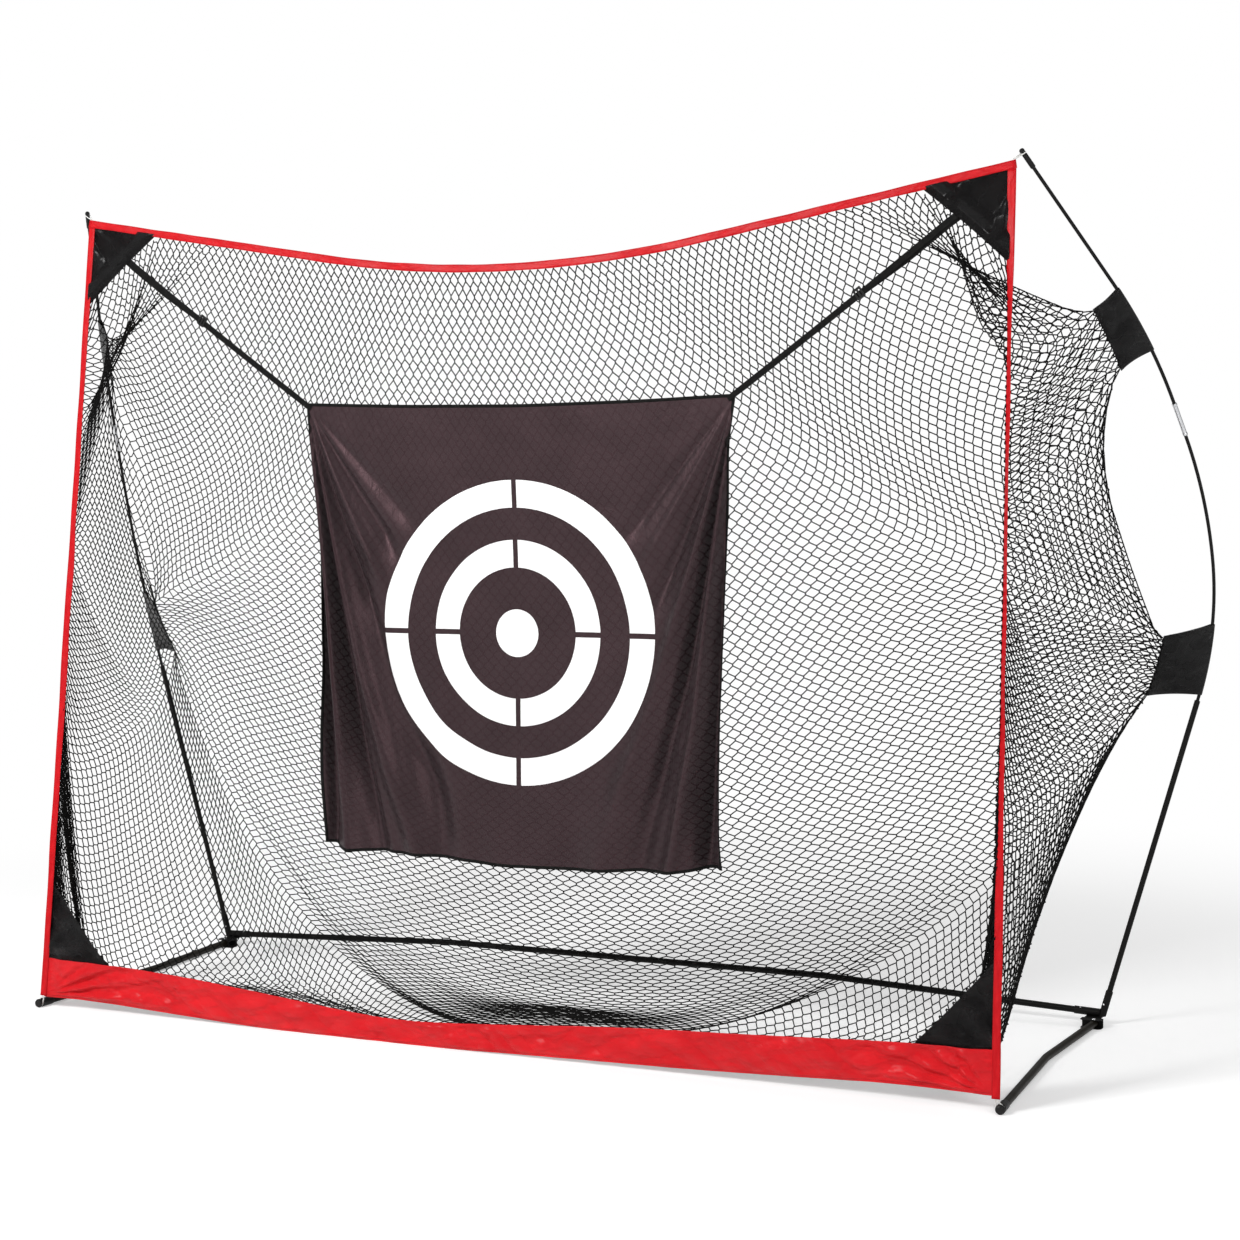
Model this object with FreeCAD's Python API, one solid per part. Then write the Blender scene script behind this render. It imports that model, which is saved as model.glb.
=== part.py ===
import FreeCAD, Part
import math
import os

from FreeCAD import Matrix, Vector

# Golf practice net: a folding tube base, two bent poles held in it, and a
# net bag with a hanging bull's-eye cloth stretched between the poles.
# Millimetres, Z up, the mouth of the bag faces -Y. The right-hand pieces
# are modelled and mirrored across the plane X = 0.

os.makedirs("parts", exist_ok=True)

# Overall layout
FOOT_SPAN = 3048.0  # between the two feet, ten feet
BRACKET_DEPTH = 965.0  # leg pin behind the foot end
BAR_BEHIND_PIN = 45.0  # bar axis behind the leg pin

# Clearances
SOFT_GAP = 0.3  # cloth or net to what carries it
SLIP_GAP = 0.25  # tube in tube, each side
PLATE_GAP = 0.4  # leg to the plates of its channel
PIN_GAP = 0.15  # pin in its hole, each side
ROD_GAP = 0.5  # rod's end to what stops it
JOINT_GAP = 0.3  # tube's end to the shoulder of its spigot

# Legs
LEG_OD = 22.0
LEG_WALL = 1.5
LEG_TOE_IN = 37.0  # how far the bend lies inside the foot
LEG_PIN_IN = 16.0  # how far the pin lies inside the foot
LEG_BEND_SHARE = 0.57  # of the way from foot to pin
LEG_BEND_R = 150.0
CAP_OD = 26.0
CAP_LENGTH = 62.0
CAP_GROOVE_AT = 13.0
CAP_GROOVE_R = 8.0
CAP_GROOVE_HALF = 4.0

# Leg channel and pin
PLATE = 2.0
CHANNEL_LENGTH = 62.0
CHANNEL_FRONT = 14.0  # plates ahead of the pin
CHANNEL_BACK = 16.0  # back wall behind the pin
CHANNEL_CORNER = 8.0
CHANNEL_OUTSIDE = 24.0  # plates outside the pin
TONGUE_IN_FROM_PIN = 32.0  # inner side of the tongue
PIN_OD = 8.0
PIN_HEAD_OD = 13.0
PIN_HEAD = 2.6

# Base bar
BAR_OD = 19.0
BAR_WALL = 1.5
BAR_RISE = 36.0  # middle of the bar over its ends
BAR_BEND_X = 655.0
BAR_BEND_R = 220.0
BAR_JOINT_X = 520.0
BAR_SPIGOT = 60.0
STUB_WALL = 1.8
STUB_LENGTH = 50.0
STUB_IN_FROM_FOOT = 34.0  # outer end of the stub, inside the foot line
WELD_FLAT = 0.8  # depth of the flat that seats the stub on its plate
BAR_STOP = 8.0  # bar end short of the stub's closed end

# Uprights and poles
SOCKET_IN_FROM_FOOT = 0.0
SOCKET_LENGTH = 66.0
SOCKET_WALL = 2.2
SOCKET_FLOOR = 6.0
SOCKET_CLOSED = 10.0
POLE_OUT = 16.14  # degrees outward
POLE_BACK = 1.49  # degrees backward
STEEL_OD = 16.0
STEEL_WALL = 1.2
STEEL_LENGTH = 950.0
ROD_OD = 9.5
ROD_IN_STEEL = 120.0
COLLAR_LENGTH = 30.0  # collar that closes the top of the steel tube
LOW_COLLAR_LENGTH = 20.0  # collar at the rod's lower end
BEND_PLANE = 45.8  # degrees that the bend plane turns to the front
LOWER_R1 = 946.0
LOWER_L1 = 420.0
LOWER_R2 = 1446.0
LOWER_L2 = 370.0
FERRULE_LENGTH = 100.0
FERRULE_OD = 12.5
FERRULE_LIP_OD = 14.0
FERRULE_LIP = 7.0
UPPER_R = 1595.0
UPPER_ARC = 400.0
UPPER_STRAIGHT = 395.0
TIP_OD = 14.0
TIP_LENGTH = 62.0
TIP_BORE_DEPTH = 36.0
TIP_GROOVE_AT = 13.0
TIP_GROOVE_R = 4.2
TIP_GROOVE_HALF = 3.5
TIP_LOOP_REACH = 24.0  # from the groove to the corner of the hems
TIP_LOOP_PULL = (-0.3, 0.0, -1.0)  # the way that the corner pulls the loop

# Spring buttons
BUTTON_OD = 6.0
BUTTON_PROUD = 3.2
BUTTON_ROOT = 4.0
UPRIGHT_BUTTON_UP = 26.0  # above the lower end of the upright
BAR_BUTTON_IN = 18.0  # from the stub's open end

# Hems
HEM_WIDTH = 23.0
HEM_THICK = 2.4
HEM_SLOPE = 9.65  # degrees, outer runs of the top hem
HEM_FLAT_X = 600.0  # where the top hem's arc begins
HEM_LOW_Z = 37.0
HEM_IN_FROM_FOOT = 2.0
BAND_HEIGHT = 112.0
BAND_MID_HEIGHT = 84.0
BAND_THICK = 2.0
BAND_FRONT = 17.0  # ends of the band behind the foot line
BAND_BACK = 30.0  # middle of the band behind its ends
BAND_RAISED_X = 1190.0  # outside this the band hangs clear of the leg
BAND_GROUND_X = 985.0  # inside this it lies on the ground
BAND_RAISE = 40.0
BAND_REST = 0.4
BAND_FOLDS = 18
BAND_FOLD_DEEP = 5.0

# Corner patches
PATCH_THICK = 1.2
PATCH_TOP_WIDE = 225.0
PATCH_TOP_TALL = 232.0
PATCH_LOW_WIDE = 212.0
PATCH_LOW_TALL = 225.0

# Elastic loops
LOOP_OD = 3.4
LOOP_SIDES = 8
LOOP_RUNS = 10  # straight runs round the groove

# Net
NET_THICK = 3.0
NET_CORD = 10.0
NET_PITCH = 300.0  # diagonal of one gap plus a cord
NET_BORDER = 14.0
NET_CORNER_CUT = 4.0
NET_MIN_GAP = 0.16  # smallest cut gap that stays open, as a share of a whole one
NET_HEM_DROP = 13.8  # the net's edge below the top of the hem
NET_WAIST_DRAW = (-55.0, -125.0, 72.0)  # waist from midway between the sleeves' corners
NET_ROOF_RUN = 200.0  # middle of the roof, from the hem to its back edge
NET_WAIST_MID = (520.0, 410.0)  # X and Y where the middle begins, at the waist
NET_LOWER_MID = (560.0, 490.0)  # the same at the lower sleeves
NET_HEEL_MID = (600.0, 630.0)  # the same on the ground
NET_HEEL = (1050.0, 580.0)  # X and Y of the floor's back corner
NET_FLOOR_Z = 42.0  # clear of a leg that folds in below it
NET_FOOT_Z = 78.0  # front corner of the floor, behind the side hem
NET_FOOT_IN = 6.0  # that corner inside the hem's outer edge

# Pole sleeves
SLEEVE_WALL = 1.5
SLEEVE_LENGTH = 205.0
UPPER_SLEEVE_UP = 187.5  # from the ferrule to the sleeve
LOWER_SLEEVE_UP = 37.5  # from the steel tube to the sleeve
UPPER_FLAP = (-58.0, -40.0, -66.0)  # from the rod to the net's corner
LOWER_FLAP = (-126.0, -96.0, -20.0)
FLAP_THICK = 1.6
FLAP_IN = 6.0  # flap's root inside the ends of the sleeve
FLAP_END = 150.0  # length of the flap's net edge
FLAP_SHORT = 2.4  # flap's edge short of the net's corner

# Target
TARGET_TOP_HALF = 692.0
TARGET_MID_HALF = 655.0
TARGET_LOW_HALF = 645.0
TARGET_TOP_Z = 1831.0
TARGET_MID_Z = 1150.0
TARGET_LOW_Z = 505.0
TARGET_THICK = 1.6
TARGET_FOLDS = 9
TARGET_FOLD_TOP = 2.0
TARGET_FOLD_MID = 7.0
TARGET_FOLD_LOW = 12.0
FOLD_STEPS = 3  # straight runs in one fold
STRAP_WIDTH = 20.0
STRAP_THICK = 1.4
STRAP_SHARE = 0.375  # where the strap meets the patch's long edge
STRAP_END_IN = 8.0
SLIDER_AT = 0.40  # share of the strap below its sewn end
SLIDER_LONG = 24.0
SLIDER_WIDE = 31.0
SLIDER_THICK = 7.0
SLIDER_BAR = 4.5
SLIDER_GAP = 0.5

# Derived places
HALF_SPAN = FOOT_SPAN / 2
LEG_Z = CAP_OD / 2
PIN_X = HALF_SPAN - LEG_PIN_IN
PIN_Y = BRACKET_DEPTH
CHANNEL_TOP = LEG_Z + LEG_OD / 2 + PLATE_GAP + PLATE
STUB_OD = BAR_OD + 2 * (SLIP_GAP + STUB_WALL)
BAR_Y = PIN_Y + BAR_BEHIND_PIN
BAR_Z = CHANNEL_TOP + STUB_OD / 2 - WELD_FLAT
SOCKET_OD = STEEL_OD + 2 * (SLIP_GAP + SOCKET_WALL)
X_AXIS = Vector(1, 0, 0)
Y_AXIS = Vector(0, 1, 0)
Z_AXIS = Vector(0, 0, 1)

nodes = {}


def unit(v):
    return v / v.Length


def mirrored(shape):
    return shape.mirror(Vector(0, 0, 0), X_AXIS)


def pair(name, shape):
    """Adds a right-hand piece and its mirror image."""
    nodes[name + "_right"] = shape
    nodes[name + "_left"] = mirrored(shape)


def cylinder(start, end, radius):
    return Part.makeCylinder(radius, (end - start).Length, start, end - start)


def tube(start, end, outer, inner):
    return cylinder(start, end, outer).cut(cylinder(start, end, inner))


def pipe(wire, radius):
    """A round bar along a wire of lines and tangent arcs."""
    runs = []
    for edge in wire.OrderedEdges:
        ends = (edge.FirstParameter, edge.LastParameter)
        at = edge.valueAt(ends[0])
        disc = Part.Face(Part.Wire(Part.makeCircle(radius, at, edge.tangentAt(ends[0]))))
        if isinstance(edge.Curve, Part.Circle):
            turn_by = math.degrees(ends[1] - ends[0])
            runs.append(disc.revolve(edge.Curve.Center, edge.Curve.Axis, turn_by))
        else:
            runs.append(disc.extrude(edge.valueAt(ends[1]) - at))
    return runs[0].fuse(runs[1:]).removeSplitter() if len(runs) > 1 else runs[0]


def rounded_path(points, radii):
    """Lines through the points, with a tangent arc at each inner one."""
    edges = []
    last = points[0]
    for before, at, after, radius in zip(points, points[1:], points[2:], radii):
        a = unit(before - at)
        b = unit(after - at)
        half = math.acos(max(-1.0, min(1.0, a.dot(b)))) / 2
        reach = radius / math.tan(half)
        middle = at + unit(a + b) * (radius / math.sin(half) - radius)
        edges.append(Part.LineSegment(last, at + a * reach).toShape())
        edges.append(Part.Arc(at + a * reach, middle, at + b * reach).toShape())
        last = at + b * reach
    edges.append(Part.LineSegment(last, points[-1]).toShape())
    return Part.Wire(edges)


def revolved(profile, origin, axis):
    """A solid of revolution. The profile is (along, radius) points."""
    side = unit(axis.cross(Z_AXIS if abs(axis.z) < 0.9 else X_AXIS))
    outline = [origin + axis * a + side * r for a, r in profile]
    outline.append(outline[0])
    face = Part.Face(Part.makePolygon(outline))
    return face.revolve(origin, axis, 360)


def flat_plate(points, thick, normal):
    """A plate with its middle on the plane of the points."""
    shift = unit(normal) * (-thick / 2)
    outline = [p + shift for p in points]
    outline.append(outline[0])
    return Part.Face(Part.makePolygon(outline)).extrude(unit(normal) * thick)


# Pole line
# The pole is straight up to the steel tube's top, then bends in one plane.
POLE_DIR = unit(Vector(math.tan(math.radians(POLE_OUT)), math.tan(math.radians(POLE_BACK)), 1))
POLE_FOOT = Vector(HALF_SPAN - SOCKET_IN_FROM_FOOT, BAR_Y, BAR_Z)
turn = math.radians(BEND_PLANE)
inward = Vector(-math.cos(turn), -math.sin(turn), 0)
POLE_SIDE = unit(inward - POLE_DIR * inward.dot(POLE_DIR))
LOWER_END = STEEL_LENGTH + LOWER_L1 + LOWER_L2
UPPER_START = LOWER_END + FERRULE_LENGTH
POLE_LENGTH = UPPER_START + UPPER_ARC + UPPER_STRAIGHT
LOWER_SLEEVE_AT = STEEL_LENGTH + LOWER_SLEEVE_UP + SLEEVE_LENGTH / 2
UPPER_SLEEVE_AT = UPPER_START + UPPER_SLEEVE_UP + SLEEVE_LENGTH / 2
RUNS = (
    (STEEL_LENGTH, None),
    (LOWER_L1, LOWER_R1),
    (LOWER_L2, LOWER_R2),
    (FERRULE_LENGTH, None),
    (UPPER_ARC, UPPER_R),
    (UPPER_STRAIGHT + TIP_LENGTH, None),
)


def pole_at(s):
    """Point and direction of the pole's axis at a length along it."""
    point = Vector(POLE_FOOT)
    angle = 0.0
    for length, radius in RUNS:
        step = min(s, length)
        if radius is None:
            point = point + pole_direction(angle) * step
        else:
            swing = step / radius
            chord = 2 * radius * math.sin(swing / 2)
            point = point + pole_direction(angle + swing / 2) * chord
            angle += swing
        s -= step
        if s <= 0:
            break
    return point, pole_direction(angle)


def pole_direction(angle):
    return POLE_DIR * math.cos(angle) + POLE_SIDE * math.sin(angle)


def pole_wire(start, end):
    """The pole's axis between two lengths along it."""
    edges = []
    base = 0.0
    for length, radius in RUNS:
        a = max(start, base)
        b = min(end, base + length)
        if b - a > 1e-6:
            p, q = pole_at(a)[0], pole_at(b)[0]
            if radius is None:
                edges.append(Part.LineSegment(p, q).toShape())
            else:
                edges.append(Part.Arc(p, pole_at((a + b) / 2)[0], q).toShape())
        base += length
    return Part.Wire(edges)


def pole_tube(start, end, outer, inner=0.0):
    wire = pole_wire(start, end)
    solid = pipe(wire, outer)
    return solid.cut(pipe(wire, inner)) if inner else solid


# Legs, caps, channels
foot = Vector(HALF_SPAN, 0, LEG_Z)
bend = Vector(HALF_SPAN - LEG_TOE_IN, BRACKET_DEPTH * LEG_BEND_SHARE, LEG_Z)
pin = Vector(PIN_X, PIN_Y, LEG_Z)
toe_dir = unit(bend - foot)
leg_start = foot + toe_dir * (CAP_GROOVE_AT + CAP_GROOVE_HALF + 4.0)
leg_wire = rounded_path([leg_start, bend, pin], [LEG_BEND_R])
leg_solid = pipe(leg_wire, LEG_OD / 2).fuse(Part.makeSphere(LEG_OD / 2, pin))
bore_end = pin + unit(bend - pin) * LEG_OD
bore = pipe(rounded_path([leg_start, bend, bore_end], [LEG_BEND_R]), LEG_OD / 2 - LEG_WALL)
pin_hole = cylinder(Vector(PIN_X, PIN_Y, 0), Vector(PIN_X, PIN_Y, 2 * LEG_Z), PIN_OD / 2 + PIN_GAP)
leg_solid = leg_solid.cut(bore).cut(pin_hole)
pair("leg_tube", leg_solid)

cap_bore = LEG_OD / 2 + SLIP_GAP
cap_floor = (leg_start - foot).Length - SLIP_GAP
cap_profile = [
    (0, 0),
    (0, CAP_OD / 2 - 5),
    (1.5, CAP_OD / 2 - 2),
    (5, CAP_OD / 2),
    (CAP_GROOVE_AT - CAP_GROOVE_HALF, CAP_OD / 2),
    (CAP_GROOVE_AT - CAP_GROOVE_HALF / 2, CAP_GROOVE_R),
    (CAP_GROOVE_AT + CAP_GROOVE_HALF / 2, CAP_GROOVE_R),
    (CAP_GROOVE_AT + CAP_GROOVE_HALF, CAP_OD / 2),
    (CAP_LENGTH - 3, CAP_OD / 2),
    (CAP_LENGTH, CAP_OD / 2 - 1),
    (CAP_LENGTH, cap_bore),
    (cap_floor, cap_bore),
    (cap_floor, 0),
]
pair("foot_cap", revolved(cap_profile, foot, toe_dir))

left = PIN_X + CHANNEL_OUTSIDE - CHANNEL_LENGTH
right = PIN_X + CHANNEL_OUTSIDE
front = PIN_Y - CHANNEL_FRONT
back = PIN_Y + CHANNEL_BACK
plate_outline = [
    Vector(left, back, 0),
    Vector(right, back, 0),
    Vector(right, front + CHANNEL_CORNER, 0),
    Vector(right - CHANNEL_CORNER, front, 0),
    Vector(left + CHANNEL_CORNER, front, 0),
    Vector(left, front + CHANNEL_CORNER, 0),
    Vector(left, back, 0),
]
plate_face = Part.Face(Part.makePolygon(plate_outline))
low_plate = plate_face.extrude(Z_AXIS * PLATE)
high_plate = low_plate.translated(Z_AXIS * (CHANNEL_TOP - PLATE))
# A tongue of the upper plate reaches back under the bar's stub.
tongue_left = PIN_X - TONGUE_IN_FROM_PIN
tongue = Part.makeBox(
    right - tongue_left - CHANNEL_CORNER,
    BAR_Y + STUB_OD / 2 - back,
    PLATE,
    Vector(tongue_left, back, CHANNEL_TOP - PLATE),
)
web = Part.makeBox(CHANNEL_LENGTH, PLATE, CHANNEL_TOP, Vector(left, back - PLATE, 0))
channel = web.fuse([low_plate, high_plate, tongue]).removeSplitter()
pin_low = Vector(PIN_X, PIN_Y, 0)
channel = channel.cut(cylinder(pin_low, pin_low + Z_AXIS * CHANNEL_TOP, PIN_OD / 2 + PIN_GAP))
channel = channel.cut(cylinder(pin_low, pin_low + Z_AXIS * PLATE / 2, PIN_HEAD_OD / 2 + PIN_GAP))
pair("leg_channel", channel)

head = PIN_HEAD_OD / 2
pin_profile = [
    (0.2, 0),
    (0.2, head - 1),
    (PLATE / 2, head - 1),
    (PLATE / 2, PIN_OD / 2),
    (CHANNEL_TOP, PIN_OD / 2),
    (CHANNEL_TOP, head),
    (CHANNEL_TOP + PIN_HEAD * 0.5, head - 0.6),
    (CHANNEL_TOP + PIN_HEAD, head - 3.2),
    (CHANNEL_TOP + PIN_HEAD, 0),
]
pair("leg_pin", revolved(pin_profile, Vector(PIN_X, PIN_Y, 0), Z_AXIS))

# Corner bracket: bar stub welded to the upright's socket
bar_angle = math.atan2(BAR_RISE, HALF_SPAN - STUB_IN_FROM_FOOT - BAR_BEND_X)
bar_dir = Vector(-math.cos(bar_angle), 0, math.sin(bar_angle))
stub_end = Vector(HALF_SPAN - STUB_IN_FROM_FOOT, BAR_Y, BAR_Z)
stub_open = stub_end + bar_dir * STUB_LENGTH
bar_end = stub_end + bar_dir * BAR_STOP
socket_low = POLE_FOOT - POLE_DIR * (SOCKET_FLOOR + SOCKET_CLOSED)
socket_top = POLE_FOOT + POLE_DIR * SOCKET_LENGTH
stub_out = stub_end - bar_dir * (STUB_IN_FROM_FOOT - SOCKET_OD / 2 + SOCKET_WALL)
bracket = cylinder(stub_out, stub_open, STUB_OD / 2).fuse(cylinder(socket_low, socket_top, SOCKET_OD / 2))
bracket = bracket.cut(cylinder(stub_end, stub_open + bar_dir, BAR_OD / 2 + SLIP_GAP))
bracket = bracket.cut(cylinder(POLE_FOOT, socket_top + POLE_DIR, STEEL_OD / 2 + SLIP_GAP))
# Its underside is cut flat, to lie on the channel's top plate.
bracket = bracket.cut(
    Part.makeBox(
        2 * STUB_LENGTH + SOCKET_LENGTH,
        2 * SOCKET_OD,
        CHANNEL_TOP,
        Vector(stub_open.x - STUB_LENGTH / 2, BAR_Y - SOCKET_OD, 0),
    )
)
button_dir = unit(Vector(-0.35, -1, 0) - POLE_DIR * Vector(-0.35, -1, 0).dot(POLE_DIR))
upright_button = POLE_FOOT + POLE_DIR * UPRIGHT_BUTTON_UP
bar_button_dir = unit(Vector(0, -0.55, 1) - bar_dir * Vector(0, -0.55, 1).dot(bar_dir))
bar_button = stub_open - bar_dir * BAR_BUTTON_IN
hole_r = BUTTON_OD / 2 + PIN_GAP
bracket = bracket.cut(cylinder(upright_button, upright_button + button_dir * SOCKET_OD, hole_r))
bracket = bracket.cut(cylinder(bar_button, bar_button + bar_button_dir * STUB_OD, hole_r))
pair("corner_bracket", bracket)

# Uprights, rods, ferrules, tips
upright = pole_tube(PLATE_GAP, STEEL_LENGTH, STEEL_OD / 2, STEEL_OD / 2 - STEEL_WALL)
upright = upright.cut(cylinder(upright_button, upright_button + button_dir * STEEL_OD, hole_r))
pair("upright_tube", upright)

# Two collars on the rod fill the steel tube.
rod_lower = pole_tube(STEEL_LENGTH - ROD_IN_STEEL, LOWER_END + FERRULE_LENGTH / 2 - ROD_GAP, ROD_OD / 2)
collar_r = STEEL_OD / 2 - STEEL_WALL - SLIP_GAP
collar = pole_tube(STEEL_LENGTH - COLLAR_LENGTH, STEEL_LENGTH, collar_r)
low_collar_at = STEEL_LENGTH - ROD_IN_STEEL
low_collar = pole_tube(low_collar_at, low_collar_at + LOW_COLLAR_LENGTH, collar_r)
pair("rod_lower", rod_lower.fuse([collar, low_collar]).removeSplitter())

ferrule_at, ferrule_dir = pole_at(LOWER_END)
ferrule_bore = ROD_OD / 2 + SLIP_GAP
lip = FERRULE_LIP_OD / 2
body = FERRULE_OD / 2
ferrule_profile = [
    (0, ferrule_bore),
    (0, lip - 0.8),
    (0.8, lip),
    (FERRULE_LIP, lip),
    (FERRULE_LIP + 1.5, body),
    (FERRULE_LENGTH - FERRULE_LIP - 1.5, body),
    (FERRULE_LENGTH - FERRULE_LIP, lip),
    (FERRULE_LENGTH - 0.8, lip),
    (FERRULE_LENGTH, lip - 0.8),
    (FERRULE_LENGTH, ferrule_bore),
]
pair("ferrule", revolved(ferrule_profile, ferrule_at, ferrule_dir))
upper_end = POLE_LENGTH + TIP_BORE_DEPTH - ROD_GAP
pair("rod_upper", pole_tube(LOWER_END + FERRULE_LENGTH / 2, upper_end, ROD_OD / 2))

tip_at, tip_dir = pole_at(POLE_LENGTH)
tip_groove = TIP_LENGTH - TIP_GROOVE_AT
tip_r = TIP_OD / 2
tip_profile = [
    (0, ROD_OD / 2 + SLIP_GAP),
    (0, tip_r - 1),
    (2, tip_r),
    (tip_groove - TIP_GROOVE_HALF - 2, tip_r),
    (tip_groove - TIP_GROOVE_HALF + 1, TIP_GROOVE_R),
    (tip_groove + TIP_GROOVE_HALF - 1, TIP_GROOVE_R),
    (tip_groove + TIP_GROOVE_HALF + 1, tip_r),
    (TIP_LENGTH - 4, tip_r),
    (TIP_LENGTH - 1, tip_r - 2),
    (TIP_LENGTH, tip_r - 5),
    (TIP_LENGTH, 0),
    (TIP_BORE_DEPTH, 0),
    (TIP_BORE_DEPTH, ROD_OD / 2 + SLIP_GAP),
]
pair("tip_cap", revolved(tip_profile, tip_at, tip_dir))

# Spring buttons


def button(centre, out, tube_radius, seat_radius):
    """A domed pin that stands through a tube's wall."""
    root = seat_radius - BUTTON_ROOT
    top = tube_radius + BUTTON_PROUD
    r = BUTTON_OD / 2
    profile = [(root, 0), (root, r), (top - 1.6, r), (top - 0.5, r - 0.9), (top, r - 2.2), (top, 0)]
    return revolved(profile, centre, out)


pair("upright_button", button(upright_button, button_dir, SOCKET_OD / 2, STEEL_OD / 2))
pair("bar_button", button(bar_button, bar_button_dir, STUB_OD / 2, BAR_OD / 2))

# Base bar
bend_run = bar_end.x - BAR_BEND_X
knee = Vector(BAR_BEND_X, BAR_Y, bar_end.z + bend_run * math.tan(bar_angle))
bar_mid_z = knee.z
joint = Vector(BAR_JOINT_X, BAR_Y, bar_mid_z)
end_wire = rounded_path([bar_end, knee, joint], [BAR_BEND_R])
spigot_r = BAR_OD / 2 - BAR_WALL - SLIP_GAP
end_bar = pipe(end_wire, BAR_OD / 2)
end_bar = end_bar.fuse(cylinder(joint, joint - X_AXIS * BAR_SPIGOT, spigot_r))
end_bore = rounded_path([bar_end, knee, joint - X_AXIS * BAR_SPIGOT], [BAR_BEND_R])
end_bar = end_bar.cut(pipe(end_bore, spigot_r - BAR_WALL))
end_bar = end_bar.cut(cylinder(bar_button, bar_button + bar_button_dir * BAR_OD, hole_r))
pair("base_bar_end", end_bar)
nodes["base_bar_middle"] = tube(
    Vector(-BAR_JOINT_X + JOINT_GAP, BAR_Y, bar_mid_z),
    Vector(BAR_JOINT_X - JOINT_GAP, BAR_Y, bar_mid_z),
    BAR_OD / 2,
    BAR_OD / 2 - BAR_WALL,
)

# The mouth's plane: over the grooves of both foot caps, and through the
# corners where the tips' loops hold the hems.
foot_groove = foot + toe_dir * CAP_GROOVE_AT
tip_groove_at = tip_at + tip_dir * tip_groove
tip_pull = Vector(*TIP_LOOP_PULL)
tip_pull = unit(tip_pull - tip_dir * tip_pull.dot(tip_dir))
top_corner = tip_groove_at + tip_pull * TIP_LOOP_REACH
LEAN = math.atan2(top_corner.y - foot_groove.y, top_corner.z - HEM_LOW_Z)
UP_FACE = Vector(0, math.sin(LEAN), math.cos(LEAN))
FACE_NORMAL = Vector(0, -math.cos(LEAN), math.sin(LEAN))


def on_face(x, z, ahead=0.0):
    """A point of the leaning mouth plane, moved toward the front."""
    return Vector(x, foot_groove.y + (z - HEM_LOW_Z) * math.tan(LEAN), z) + FACE_NORMAL * ahead


# Hems
hem_slope = math.radians(HEM_SLOPE)
hem_outer_x = HALF_SPAN - HEM_IN_FROM_FOOT


def hem_x(z):
    """Outer edge of a side hem: a straight line from foot to pole tip."""
    share = (z - LEG_Z) / (top_corner.z - LEG_Z)
    return hem_outer_x + (top_corner.x - hem_outer_x) * share


low_outer = on_face(hem_x(HEM_LOW_Z), HEM_LOW_Z)
along = unit(top_corner - low_outer)
across = unit(FACE_NORMAL.cross(along))
if across.x > 0:
    across = across * -1
corner_drop = HEM_WIDTH + SOFT_GAP
side_hem = [
    low_outer,
    top_corner - along * corner_drop,
    top_corner - along * (corner_drop + HEM_WIDTH * math.tan(hem_slope)) + across * HEM_WIDTH,
    low_outer + across * HEM_WIDTH,
]
pair("hem_side", flat_plate(side_hem, HEM_THICK, FACE_NORMAL))


def hem_outline(drop):
    """Half points of the top hem's edge: corner, arc start, arc middle."""
    slope = math.tan(hem_slope)
    arc_z = top_corner.z - slope * (top_corner.x - HEM_FLAT_X)
    arc_r = HEM_FLAT_X / math.sin(hem_slope)
    low_z = arc_z - arc_r * (1 - math.cos(hem_slope))
    return (
        Vector(top_corner.x, top_corner.z - drop, 0),
        Vector(HEM_FLAT_X, arc_z - drop, 0),
        Vector(0, low_z - drop, 0),
    )


def to_face(p, ahead=0.0):
    return on_face(p.x, p.y, ahead)


def flip(p):
    return Vector(-p.x, p.y, p.z)


def hem_edges(drop, ahead):
    corner, start, middle = hem_outline(drop)
    c, s, m = (to_face(p, ahead) for p in (corner, start, middle))
    return [
        Part.LineSegment(c, s).toShape(),
        Part.Arc(s, m, flip(s)).toShape(),
        Part.LineSegment(flip(s), flip(c)).toShape(),
    ]


upper = hem_edges(0.0, -HEM_THICK / 2)
lower = hem_edges(HEM_WIDTH, -HEM_THICK / 2)
end_a = Part.LineSegment(upper[-1].Vertexes[-1].Point, lower[-1].Vertexes[-1].Point).toShape()
end_b = Part.LineSegment(lower[0].Vertexes[0].Point, upper[0].Vertexes[0].Point).toShape()
hem_face = Part.Face(Part.Wire(Part.__sortEdges__(upper + [end_a] + lower + [end_b])))
nodes["hem_top"] = hem_face.extrude(FACE_NORMAL * HEM_THICK)

# The bottom band is a crinkled strip, raised at its ends over the feet. Its
# plan is a zigzag ribbon, and its edges are cut by a profile seen from the front.
band_end_y = BAND_FRONT + (BAND_FOLD_DEEP + BAND_THICK) / 2
band_meets_z = HEM_LOW_Z + (band_end_y - foot_groove.y) / math.tan(LEAN)
band_half = hem_x(band_meets_z) - HEM_WIDTH - SOFT_GAP


def band_line(offset):
    """The band's plan: folds along a shallow bow, moved front or back."""
    points = []
    for i in range(2 * BAND_FOLDS + 1):
        x = -band_half + band_half * i / BAND_FOLDS
        bow = BAND_BACK * (1 - (x / band_half) ** 4)
        fold = BAND_FOLD_DEEP * (0.5 - i % 2)
        points.append(Vector(x, BAND_FRONT + bow + fold + offset, 0))
    return points


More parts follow.
